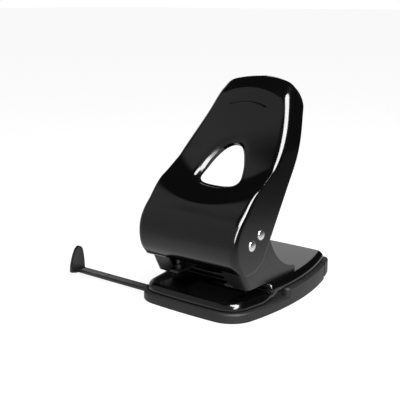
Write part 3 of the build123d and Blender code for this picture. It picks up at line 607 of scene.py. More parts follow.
@dataclass
class Lever:
    """The pressed lever: apron, scooped face, hood and flanks as one sheet, with its finger hole.

    Attributes:
        rows: for each row across the sheet, the middle (Y, Z), the fold (Y, Z), the direction of the
            flank behind the fold in degrees, the fold's radius and the height of the rear edge.
        rear_line: places of the flanks' rear edge, as Z and Y.
        widths: half width of the flanks by height.
        hood_foot: height where the hood's outline starts to turn in.
        hood_top: height of the hood's outline in the middle.
        hood_half: half width of that outline at its foot.
        hood_power: how long the outline stays wide.
        hood_front: where behind the face the hood starts to get narrower.
        hood_back: where it has that outline in full.
        hood_ease: how quickly the outline takes hold above its foot.
        hood_least: least half width that the outline is compared with.
        sheet: the sheet's thickness.
        edge_round: rounding of the sheet's edges.
        edge_sharp: least angle of an edge that is rounded, in degrees.
        smooth: faces that meet at less than this angle are shaded as one, in degrees.
        step: distance between rows of points.
        fine_step: the same where the sheet is pressed sharply.
        fine: heights of the middle between which the rows are fine.
        samples: places at which the middle's curve is tabulated.
        fold_rounds: how often a row's width and its fold are fitted to each other.
        aim_rounds: how often the aim at a place around the hole is corrected.
        face_columns: points across half the face.
        fold_columns: points across a fold.
        flank_columns: points across a flank.
        low_edge: how far the flanks' lower edge hangs below the first row, by Y.
        low_fade: how far up the flank that drop dies out.
        low_from: share of the half width where it starts.
        relief_slope: slope of the face at the groove and the ridge, in degrees.
        relief_back: Y behind which the sheet has no relief.
        groove_middle: height of the small pressed groove's middle.
        groove_end: where the groove ends, across and up.
        groove_depth, groove_width: its depth and its half width.
        ridge_middle: height of the middle of the ridge under the hood.
        ridge_end: where the ridge ends, across and up.
        ridge_height, ridge_width: its height and the width of its lower slope.
        ridge_back: width of its upper slope.
        ridge_fade: how far past its end the ridge reaches, and over what length it dies out.
        hole: the finger hole.
        patch_past: face that is redrawn below and above the hole's turned-in edge.
        patch_side: share of the face's columns that are redrawn.
    """

    rows: tuple[tuple[float, ...], ...] = (
        (-75.0, 45.0, -72.7, 43.0, 0.0, 6.5, 47.4),
        (-80.8, 53.4, -80.2, 53.0, 0.0, 6.5, 56.0),
        (-83.4, 65.0, -82.8, 65.0, 0.0, 6.5, 68.0),
        (-82.0, 76.0, -81.4, 76.2, 0.0, 6.5, 79.2),
        (-75.8, 87.0, -73.8, 88.6, 0.0, 6.5, 91.6),
        (-70.8, 91.8, -67.0, 95.4, 0.0, 6.5, 98.2),
        (-65.9, 96.3, -57.8, 105.4, 0.0, 6.5, 108.0),
        (-63.2, 98.5, -51.2, 110.9, 0.0, 6.5, 113.6),
        (-58.4, 100.9, -47.4, 113.4, 0.0, 6.5, 116.0),
        (-49.4, 104.8, -42.4, 116.4, 0.0, 6.5, 119.0),
        (-41.4, 109.2, -37.2, 119.8, 0.0, 6.5, 122.4),
        (-34.6, 114.8, -30.6, 123.9, 0.0, 6.5, 126.4),
        (-28.0, 123.4, -22.6, 129.1, 0.0, 6.5, 131.6),
        (-23.2, 129.8, -17.8, 133.5, 0.0, 6.5, 135.6),
        (-12.2, 142.4, -9.2, 142.6, 0.0, 7.0, 143.8),
        (-0.4, 156.0, 1.6, 156.0, 0.0, 8.0, 154.5),
        (10.4, 172.0, 12.2, 171.8, 0.0, 8.6, 165.6),
        (15.2, 182.0, 17.0, 179.8, -4.0, 9.4, 170.0),
        (17.6, 187.4, 20.2, 183.6, -14.0, 10.4, 172.4),
        (19.8, 190.8, 23.6, 186.8, -26.0, 11.6, 174.6),
        (24.0, 194.4, 28.2, 190.4, -44.0, 13.0, 177.0),
        (29.8, 198.8, 33.4, 194.4, -62.0, 14.4, 179.0),
        (36.2, 201.3, 38.4, 196.6, -80.0, 15.0, 180.8),
        (44.2, 201.4, 44.4, 196.6, -96.0, 14.6, 182.8),
    )
    rear_line: tuple[tuple[float, float], ...] = ((47.4, -40.5), (176.0, 39.5), (188.0, 45.5))
    widths: tuple[tuple[float, float], ...] = (
        (36.0, 55.2), (60.0, 55.2), (90.0, 55.2), (115.0, 55.2), (129.0, 55.1), (142.0, 53.6), (156.0, 50.2),
        (172.0, 45.2), (182.0, 42.4), (190.0, 40.5), (200.0, 38.6))
    hood_foot: float = 170.0
    hood_top: float = 201.2
    hood_half: float = 42.0
    hood_power: float = 2.4
    hood_front: float = 32.0
    hood_back: float = 44.0
    hood_ease: float = 3.0
    hood_least: float = 0.1
    sheet: float = 1.5
    edge_round: float = 0.45
    edge_sharp: float = 50.0
    smooth: float = 40.0
    step: float = 1.7
    fine_step: float = 0.6
    fine: tuple[tuple[float, float], ...] = ((94.0, 102.0), (173.0, 193.0))
    samples: int = 2400
    fold_rounds: int = 3
    aim_rounds: int = 5
    face_columns: int = 26
    fold_columns: int = 12
    flank_columns: int = 24
    low_edge: tuple[tuple[float, float], ...] = (
        (-72.7, 0.0), (-69.0, -1.4), (-63.0, -3.5), (-56.0, -4.2), (-51.0, -4.2), (-47.0, -2.4), (-42.0, 0.0))
    low_fade: float = 16.0
    low_from: float = 0.7
    relief_slope: float = 57.0
    relief_back: float = 40.0
    groove_middle: float = 180.6
    groove_end: tuple[float, float] = (19.8, 176.8)
    groove_depth: float = 1.3
    groove_width: float = 0.9
    ridge_middle: float = 190.4
    ridge_end: tuple[float, float] = (27.0, 185.2)
    ridge_height: float = 0.9
    ridge_width: float = 1.3
    ridge_back: float = 11.0
    ridge_fade: tuple[float, float] = (5.0, 8.0)
    hole: FingerHole = field(default_factory=FingerHole)
    patch_past: tuple[float, float] = (5.0, 3.0)
    patch_side: float = 0.84

    def __post_init__(self) -> None:
        """Lay smooth curves through the rows."""
        table = np.array(self.rows)
        middle = np.hypot(*np.diff(table[:, 0:2], axis=0).T)
        fold = np.hypot(*np.diff(table[:, 2:4], axis=0).T)
        self.knots = np.concatenate([[0.0], np.cumsum((middle + fold) / 2)])
        self.curves = [natural_spline(self.knots, table[:, i]) for i in range(table.shape[1])]
        self.half_at = natural_spline(*zip(*self.widths))
        self.build_slope_table()

    def build_slope_table(self) -> None:
        """Tabulate how far up the hole's slope each place along the middle lies."""
        slope = math.radians(self.hole.slope)
        self.along = np.linspace(self.knots[0], self.knots[-1], self.samples)
        y = self.curves[0](self.along) - self.hole.middle[0]
        z = self.curves[1](self.along) - self.hole.middle[1]
        self.upslope = y * math.cos(slope) + z * math.sin(slope)

    def row_places(self) -> np.ndarray:
        """Places of the rows along the sheet, closer together where it is pressed sharply.

        Returns:
            The places, from the apron's lower edge to the hood's edge.
        """
        height = self.curves[1](self.along)
        fine = np.any([(height > low) & (height < high) for low, high in self.fine], axis=0)
        density = np.where(fine, 1 / self.fine_step, 1 / self.step)
        steps = (density[1:] + density[:-1]) / 2 * np.diff(self.along)
        count = np.concatenate([[0.0], np.cumsum(steps)])
        rows = int(round(count[-1]))
        return np.interp(np.linspace(0, count[-1], rows + 1), count, self.along)

    def row_shape(self, t: float) -> SheetRow:
        """The sheet's shape across one row.

        Args:
            t: the row's place along the sheet.

        Returns:
            The shape.
        """
        my, mz, fy, fz, tilt, radius, rz = (float(curve(t)) for curve in self.curves)
        ry = float(np.interp(rz, *zip(*self.rear_line)))
        flank = np.array([math.cos(math.radians(tilt)), math.sin(math.radians(tilt))])
        middle, fold, rear = np.array([my, mz]), np.array([fy, fz]), np.array([ry, rz])
        length = radius
        for _ in range(self.fold_rounds):
            half = float(self.half_at(fz + flank[1] * length))
            turn = math.pi / 2 - math.atan(2 * float((fold - middle) @ flank) / half)
            length = radius * math.tan(turn / 2)
        return SheetRow(middle, fold, flank, rear, half, radius, turn, length)

    def row(self, t: float) -> np.ndarray:
        """The right half of one row, from the middle over the fold to the rear edge.

        Args:
            t: the row's place along the sheet.

        Returns:
            Its points in millimetres.
        """
        shape = self.row_shape(t)
        end = shape.face_end()
        points = [shape.face_point(x) for x in np.linspace(0, end, self.face_columns)]
        start, finish = points[-1], shape.fold_end()
        reach = 4 / 3 * math.tan(shape.turn / 4) * shape.radius
        first = start + shape.face_way(end) * reach
        second = finish - np.array([0.0, *shape.flank]) * reach
        for u in np.linspace(0, 1, self.fold_columns + 1)[1:]:
            v = 1 - u
            points.append(v ** 3 * start + 3 * v * v * u * first + 3 * v * u * u * second + u ** 3 * finish)
        for u in np.linspace(0, 1, self.flank_columns + 1)[1:]:
            y, z = finish[1:] + (shape.rear - finish[1:]) * u
            points.append(np.array([float(self.half_at(z)), y, z]))
        return np.array(points)

    def low_drop(self, row: np.ndarray, t: float) -> np.ndarray:
        """How far the flank's lower edge hangs below a row near the bottom.

        Args:
            row: the row's points.
            t: its place along the sheet.

        Returns:
            A change of Z for each point.
        """
        fade = max(0.0, 1 - (t - self.knots[0]) / self.low_fade) ** 2
        if fade == 0:
            return np.zeros(len(row))
        y, drop = zip(*self.low_edge)
        aside = row[:, 0] > self.half_at(row[:, 2]) * self.low_from
        return np.interp(row[:, 1], y, drop) * fade * aside

    def hood_share(self, points: np.ndarray, last: np.ndarray) -> np.ndarray:
        """How much narrower the sheet gets at each place, so that the hood has a round outline.

        Args:
            points: places on the sheet.
            last: the last row, which is the hood's edge.

        Returns:
            A factor for X at each place.
        """
        z = np.clip(points[:, 2], self.hood_foot, self.hood_top)
        share = (z - self.hood_foot) / (self.hood_top - self.hood_foot)
        wanted = self.hood_half * np.sqrt(1 - share ** self.hood_power)
        edge = last[np.argsort(last[:, 2])]
        given = np.interp(z, edge[:, 2], edge[:, 0], left=self.hood_half)
        factor = np.minimum(1.0, wanted / np.maximum(given, self.hood_least))
        back = smoothstep((points[:, 1] - self.hood_front) / (self.hood_back - self.hood_front))
        return 1 - (1 - factor) * smoothstep(share * self.hood_ease) * back

    def pressed_line(self, middle: float, end: tuple[float, float], x: np.ndarray) -> np.ndarray:
        """Height of a pressed line that sinks from its middle to its end, across the face."""
        return middle - (middle - end[1]) * (x / end[0]) ** 2

    def relief(self, points: np.ndarray) -> np.ndarray:
        """Press the groove into the face and raise the ridge under the hood.

        Args:
            points: places on the sheet.

        Returns:
            The moved places.
        """
        x, z = np.abs(points[:, 0]), points[:, 2]
        slope = math.radians(self.relief_slope)
        rise = math.sin(slope)
        apart = (z - self.pressed_line(self.groove_middle, self.groove_end, x)) / rise
        beyond = np.maximum(0.0, x - self.groove_end[0])
        inward = self.groove_depth * np.exp(-(apart ** 2 + beyond ** 2) / self.groove_width ** 2)
        above = (z - self.pressed_line(self.ridge_middle, self.ridge_end, x)) / rise
        past, over = self.ridge_fade
        raised = self.ridge_height * smoothstep(above / self.ridge_width)
        raised *= smoothstep(1 - above / self.ridge_back)
        raised *= smoothstep((self.ridge_end[0] + past - x) / over)
        move = np.where(points[:, 1] < self.relief_back, raised - inward, 0.0)
        moved = points.copy()
        moved[:, 1] -= move * rise
        moved[:, 2] += move * math.cos(slope)
        return moved

    def surface(self, x: np.ndarray, s: np.ndarray, depth: np.ndarray) -> np.ndarray:
        """Places on the face around the hole.

        Args:
            x: distances across from the middle.
            s: distances up the hole's slope from its middle.
            depth: distances below the face.

        Returns:
            The places in millimetres.
        """
        slope = math.radians(self.hole.slope)
        uphill = np.array([0.0, math.cos(slope), math.sin(slope)])
        inward = np.array([0.0, math.sin(slope), -math.cos(slope)])
        origin = np.array([0.0, *self.hole.middle])
        made = []
        for across, up, below in zip(x, s, depth):
            aim = up
            for _ in range(self.aim_rounds):
                t = float(np.interp(aim, self.upslope, self.along))
                point = self.row_shape(t).face_point(float(across))
                aim += up - float((point - origin) @ uphill)
            made.append(point + below * inward)
        return np.array(made)

    def make_sheet(self) -> bpy.types.Object:
        """Shape a flat grid into the sheet and draw the finger hole into it.

        Returns:
            The sheet, one face thick.
        """
        places = self.row_places()
        rows = [self.row(t) for t in places]
        for row, t in zip(rows, places):
            row[:, 2] += self.low_drop(row, t)
        last = rows[-1].copy()
        for row in rows:
            row[:, 0] *= self.hood_share(row, last)
        right = np.array([self.relief(row) for row in rows])
        left = right[:, :0:-1] * np.array([-1.0, 1.0, 1.0])
        grid = np.concatenate([left, right], axis=1)
        high, wide = grid.shape[0] - 1, grid.shape[1] - 1
        deselect_all()
        bpy.ops.mesh.primitive_grid_add(x_subdivisions=wide, y_subdivisions=high, size=1)
        sheet = start_piece("lever_shell")
        flat = np.array([v.co for v in sheet.data.vertices])
        column = np.rint((flat[:, 0] + 0.5) * wide).astype(int)
        line = np.rint((flat[:, 1] + 0.5) * high).astype(int)
        sheet.data.vertices.foreach_set("co", (grid[line, column] * MM).ravel())
        up = np.interp(places, self.along, self.upslope)
        self.cut_patch(sheet, line, np.abs(column - wide // 2), up)
        return sheet

    def cut_patch(self, sheet: bpy.types.Object, line: np.ndarray, aside: np.ndarray,
                  up: np.ndarray) -> None:
        """Take out the faces around the hole and draw its rings in their place.

        Args:
            sheet: the shaped grid.
            line: each point's row.
            aside: each point's columns from the middle.
            up: each row's place up the hole's slope.
        """
        hole = self.hole
        low = int(np.searchsorted(up, hole.outline[0][1] - hole.roll_width - self.patch_past[0]))
        high = int(np.searchsorted(up, hole.outline[-1][1] + hole.roll_width + self.patch_past[1]))
        side = int(self.patch_side * self.face_columns)
        bpy.ops.object.mode_set(mode="EDIT")
        mesh = bmesh.from_edit_mesh(sheet.data)
        mesh.verts.ensure_lookup_table()
        inside = (line >= low) & (line <= high) & (aside <= side)
        edge = inside & ((line == low) | (line == high) | (aside == side))
        rim = [v for v in mesh.verts if edge[v.index]]
        taken = [f for f in mesh.faces if all(inside[v.index] for v in f.verts)]
        bmesh.ops.delete(mesh, geom=taken, context="FACES")
        self.draw_rings(mesh, rim)
        bmesh.update_edit_mesh(sheet.data)
        bpy.ops.object.mode_set(mode="OBJECT")

    def draw_rings(self, mesh: bmesh.types.BMesh, rim: list[bmesh.types.BMVert]) -> None:
        """Extrude the patch's edge inwards, ring by ring, down to the hole's wall.

        Args:
            mesh: the sheet's edit mesh.
            rim: points of the patch's edge.
        """
        hole = self.hole
        slope = math.radians(hole.slope)
        reach = hole.reach()
        x0 = np.array([v.co.x / MM for v in rim])
        s0 = np.array([(v.co.y / MM - hole.middle[0]) * math.cos(slope)
                       + (v.co.z / MM - hole.middle[1]) * math.sin(slope) for v in rim])
        angle = np.arctan2(s0, x0)
        order = {v: i for i, v in enumerate(rim)}
        edges = {e for v in rim for e in v.link_edges if e.is_boundary and all(w in order for w in e.verts)}
        for distance, share in hole.rings(np.hypot(x0, s0) - reach(angle)):
            made = bmesh.ops.extrude_edge_only(mesh, edges=list(edges))["geom"]
            fresh = {v for v in made if isinstance(v, bmesh.types.BMVert)}
            order = {v: order[e.other_vert(v)] for v in fresh for e in v.link_edges
                     if e.other_vert(v) in order}
            index = np.array([order[v] for v in fresh])
            outside = reach(angle[index]) + distance[index]
            x, s = outside * np.cos(angle[index]), outside * np.sin(angle[index])
            places = self.surface(x, s, hole.roll(distance[index]) + share * hole.wall_at(s))
            for vertex, place in zip(fresh, places):
                vertex.co = Vector(place) * MM
            edges = {e for e in made
                     if isinstance(e, bmesh.types.BMEdge) and all(v in fresh for v in e.verts)}

    def build(self, material: bpy.types.Material) -> bpy.types.Object:
        """Make the lever's shell and put it on its body.

        Args:
            material: its finish.

        Returns:
            The shell.
        """
        shell = self.make_sheet()
        outward(shell)
        facing = max(shell.data.polygons, key=lambda p: -p.center.y)
        if facing.normal.y > 0:
            shell.data.flip_normals()
        wall = shell.modifiers.new("sheet", "SOLIDIFY")
        wall.thickness = self.sheet * MM
        wall.offset = -1.0
        apply_modifiers(shell)
        bevel_edges(shell, self.edge_round, segments=2, degrees=self.edge_sharp)
        smooth_piece(shell, self.smooth)
        dress(shell, Body.LEVER, Slot.LACQUER, material, "handle")
        return shell


@dataclass
class Plate:
    """The pressed base plate: low table, riser and raised deck, with edges that roll over into a skirt.

    Attributes:
        front: Y of the front corners of the base's plan, before rounding, and how far the edge bows out.
        rear: the same at the rear.
        halves: half widths of the plan at the front corners, at its middle and at the rear corners.
        inset: plan outline to the skirt.
        corners: plan radii of the front and rear corners.
        table, deck: heights of the two levels.
        riser: Y of the riser between them.
        riser_fillet, riser_round, riser_corner: its lower fillet, upper round and rounding in plan.
        riser_run: its upper round to the first row of the deck behind it.
        riser_steps: points along each of its two rounds.
        skirt: heights of the skirt's lower edge at the front and at the rear.
        bend: Y between which that edge rises.
        edge_round: radius of the rolled edge.
        edge_least: least radius of it, where the skirt is low.
        edge_steps: points across it.
        upright: least height of the straight skirt below it.
        upright_more: how much taller that is beside the riser.
        upright_run: Y over which that dies out.
        lip: inset and height of the points that round the skirt's lower edge outside.
        lip_inner: rounding of that edge inside.
        sheet: thickness of the metal.
        sheet_turn: least room for the sheet's inner side to turn into the skirt.
        flat: skirt to the flat top.
        steps: rows along the front edge, the front corner, the table's side, the deck's side, the rear
            corner and the rear edge.
        dies: X and Y of the right die, and its radius.
        die_depth: length of the tool that cuts a die's hole.
        die_steps: points around it.
        merge, least_edge: points closer than the first become one, and shorter edges than the second go.
        smooth: faces that meet at less than this angle are shaded as one, in degrees.
    """

    front: tuple[float, float] = (-83.0, -2.3)
    rear: tuple[float, float] = (95.0, 1.2)
    halves: tuple[float, float, float] = (55.5, 65.0, 45.2)
    inset: float = 4.2
    corners: tuple[float, float] = (21.8, 10.8)
    table: float = 17.0
    deck: float = 24.6
    riser: float = -30.8
    riser_fillet: float = 1.5
    riser_round: float = 3.0
    riser_corner: float = 4.0
    riser_run: float = 4.5
    riser_steps: int = 7
    skirt: tuple[float, float] = (9.6, 17.2)
    bend: tuple[float, float] = (-46.0, -20.0)
    edge_round: float = 6.0
    edge_least: float = 0.6
    edge_steps: int = 12
    upright: float = 1.4
    upright_more: float = 1.6
    upright_run: float = 8.0
    lip: tuple[tuple[float, float], ...] = ((0.0, 0.35), (0.12, 0.1), (0.4, 0.0))
    lip_inner: float = 0.2
    sheet: float = 1.6
    sheet_turn: float = 0.4
    flat: float = 9.0
    steps: tuple[int, ...] = (12, 18, 16, 30, 14, 10)
    dies: tuple[float, float, float] = (40.0, -42.8, 6.0)
    die_depth: float = 30.0
    die_steps: int = 64
    merge: float = 0.01
    least_edge: float = 0.005
    smooth: float = 38.0

    def bow(self, first: tuple[float, float], middle: tuple[float, float],
            last: tuple[float, float]) -> tuple[np.ndarray, float]:
        """The skirt's arc along a bowed edge of the plan.

        Args:
            first: the edge's start.
            middle: a place on it.
            last: its end.

        Returns:
            The arc's centre and radius.
        """
        a, b, c = (np.array(place) for place in (first, middle, last))
        squares = np.array((b @ b - a @ a, c @ c - a @ a))
        centre = np.linalg.solve(2 * np.array((b - a, c - a)), squares)
        return centre, float(np.linalg.norm(a - centre)) - self.inset

    def corner(self, one: tuple[np.ndarray, float], two: tuple[np.ndarray, float], radius: float,
               rearward: bool) -> np.ndarray:
        """Centre of the round between two arcs.

        Args:
            one: centre and radius of the first arc.
            two: centre and radius of the second arc.
            radius: the round's radius.
            rearward: true for the meeting place further back.

        Returns:
            The centre.
        """
        (c1, r1), (c2, r2) = (one[0], one[1] - radius), (two[0], two[1] - radius)
        gap = c2 - c1
        apart = float(np.linalg.norm(gap))
        along = (apart * apart + r1 * r1 - r2 * r2) / (2 * apart)
        aside = math.sqrt(r1 * r1 - along * along)
        way = gap / apart
        ends = [c1 + way * along + np.array((-way[1], way[0])) * aside * side for side in (-1, 1)]
        ends.sort(key=lambda place: place[1])
        return ends[1] if rearward else ends[0]

    def rows(self) -> list[tuple[np.ndarray, np.ndarray, float, float]]:
        """Places along the right half of the skirt, from front to rear.

        Returns:
            For each row its place, the way inward, the height of the top and how much of the riser's
            rounding in plan it takes.
        """
        half_front, half_middle, half_rear = self.halves
        (front, front_bow), (rear, rear_bow) = self.front, self.rear
        lead = self.bow((-half_front, front), (0.0, front + front_bow), (half_front, front))
        side = self.bow((half_front, front), (half_middle, 0.0), (half_rear, rear))
        tail = self.bow((half_rear, rear), (0.0, rear + rear_bow), (-half_rear, rear))
        first = self.corner(lead, side, self.corners[0], False)
        second = self.corner(side, tail, self.corners[1], True)
        made = []

        def add(arc: tuple[np.ndarray, float], angle: float, top: float, turned: float = 0.0) -> None:
            """Add the row at an angle along an arc."""
            way = np.array((math.cos(angle), math.sin(angle)))
            made.append((arc[0] + way * arc[1], -way, top, turned))

        def run(arc: tuple[np.ndarray, float], start: float, end: float, steps: int, top: float) -> None:
            """Add the rows along an arc, without its last one."""
            for share in np.arange(steps) / steps:
                add(arc, start + (end - start) * share, top)

        def heading(centre: np.ndarray, place: np.ndarray) -> float:
            """The angle in plan from a centre to a place."""
            return math.atan2(place[1] - centre[1], place[0] - centre[0])

        def beside(y: float) -> float:
            """The angle along the side's arc at a Y."""
            return math.asin((y - side[0][1]) / side[1])

        meets = (heading(lead[0], first), heading(side[0], first), heading(side[0], second),
                 heading(tail[0], second))
        low = beside(self.riser - self.riser_fillet)
        high = beside(self.riser + self.riser_round + self.riser_run)
        rounds = ((first, self.corners[0]), (second, self.corners[1]))
        run(lead, -math.pi / 2, meets[0], self.steps[0], self.table)
        run(rounds[0], meets[0], meets[1], self.steps[1], self.table)
        run(side, meets[1], low, self.steps[2], self.table)
        for y, z in self.riser_profile():
            add(side, beside(y), z, 1.0)
        run(side, high, meets[2], self.steps[3], self.deck)
        run(rounds[1], meets[2], meets[3], self.steps[4], self.deck)
        run(tail, meets[3], math.pi / 2, self.steps[5], self.deck)
        made.append((tail[0] + np.array((0.0, tail[1])), np.array((0.0, -1.0)), self.deck, 0.0))
        return made

    def riser_profile(self) -> list[tuple[float, float]]:
        """The riser's section.

        Returns:
            Its Y and Z from the table to the deck.
        """
        foot, top = self.riser_fillet, self.riser_round
        low_y, low_z = self.riser - foot, self.table + foot
        high_y, high_z = self.riser + top, self.deck - top
        quarter = np.linspace(0, math.pi / 2, self.riser_steps)
        low = [(low_y + foot * math.sin(a), low_z - foot * math.cos(a)) for a in quarter]
        high = [(high_y - top * math.cos(a), high_z + top * math.sin(a)) for a in quarter]
        return low + high

    def rings(self, place: np.ndarray, top: float) -> list[tuple[float, float]]:
        """The sheet's section at one place of the skirt.

        Args:
            place: X and Y of the place.
            top: height of the plate there.

        Returns:
            Inset and height from the flat top over the edge to the underside.
        """
        share = smoothstep(np.array((place[1] - self.bend[0]) / (self.bend[1] - self.bend[0])))
        foot = self.skirt[0] + (self.skirt[1] - self.skirt[0]) * float(share)
        more = self.upright_more * math.exp(-(((place[1] - self.riser) / self.upright_run) ** 2))
        radius = max(self.edge_least, min(self.edge_round, top - foot - self.upright - more))
        over = [(radius - radius * math.cos(a), top - radius + radius * math.sin(a))
                for a in np.linspace(math.pi / 2, 0, self.edge_steps)]
        lip = [(inset, foot + height) for inset, height in self.lip]
        wall, turn = self.sheet, self.sheet_turn
        lip += [(wall - self.lip_inner, foot), (wall, foot + self.lip_inner)]
        under = [(wall, max(foot + turn, top - radius)), (max(wall + turn, radius), top - wall)]
        return [(self.flat, top), *over, *lip, *under, (self.flat, top - wall)]

    def sweep(self, mesh: bmesh.types.BMesh) -> None:
        """Draw the sections of both halves and join them.

        Args:
            mesh: the empty mesh to draw in.
        """
        rows = []
        for place, inward, top, turned in self.rows():
            line = []
            for inset, z in self.rings(place, top):
                short = max(0.0, self.riser_corner - max(inset, 0.0))
                back = turned * (self.riser_corner - math.sqrt(self.riser_corner ** 2 - short ** 2))
                x, y = place + inward * inset
                line.append((x, y + back, z))
            rows.append([[mesh.verts.new(Vector((side * x, y, z)) * MM) for x, y, z in line]
                         for side in (1, -1)])
        for (right, left), (right_on, left_on) in zip(rows, rows[1:]):
            for line, line_on in ((right, right_on), (left, left_on)):
                for j in range(len(line) - 1):
                    mesh.faces.new((line[j], line[j + 1], line_on[j + 1], line_on[j]))
            for end in (0, -1):
                mesh.faces.new((right[end], right_on[end], left_on[end], left[end]))
        bmesh.ops.remove_doubles(mesh, verts=mesh.verts, dist=self.merge * MM)
        bmesh.ops.dissolve_degenerate(mesh, edges=mesh.edges, dist=self.least_edge * MM)

    def cut_dies(self, plate: bpy.types.Object) -> None:
        """Cut the two die holes.

        Args:
            plate: the swept plate.
        """
        x, y, radius = self.dies
        for side in (-1, 1):
            deselect_all()
            bpy.ops.mesh.primitive_cylinder_add(
                vertices=self.die_steps, radius=radius * MM, depth=self.die_depth * MM,
                location=Vector((side * x, y, self.table)) * MM)
            punch = bpy.context.active_object
            hole = plate.modifiers.new("die_hole", "BOOLEAN")
            hole.operation, hole.object = "DIFFERENCE", punch
            apply_modifiers(plate)
            bpy.data.objects.remove(punch)

    def build(self, material: bpy.types.Material) -> bpy.types.Object:
        """Model the plate and cut its two die holes.

        Args:
            material: its finish.

        Returns:
            The plate.
        """
        deselect_all()
        bpy.ops.mesh.primitive_plane_add(size=MM)
        plate = start_piece("base_plate_pressed")
        mesh = bmesh.new()
        self.sweep(mesh)
        mesh.to_mesh(plate.data)
        mesh.free()
        outward(plate)
        self.cut_dies(plate)
        smooth_piece(plate, self.smooth)
        dress(plate, Body.BASE, Slot.LACQUER, material, "base_plate")
        return plate


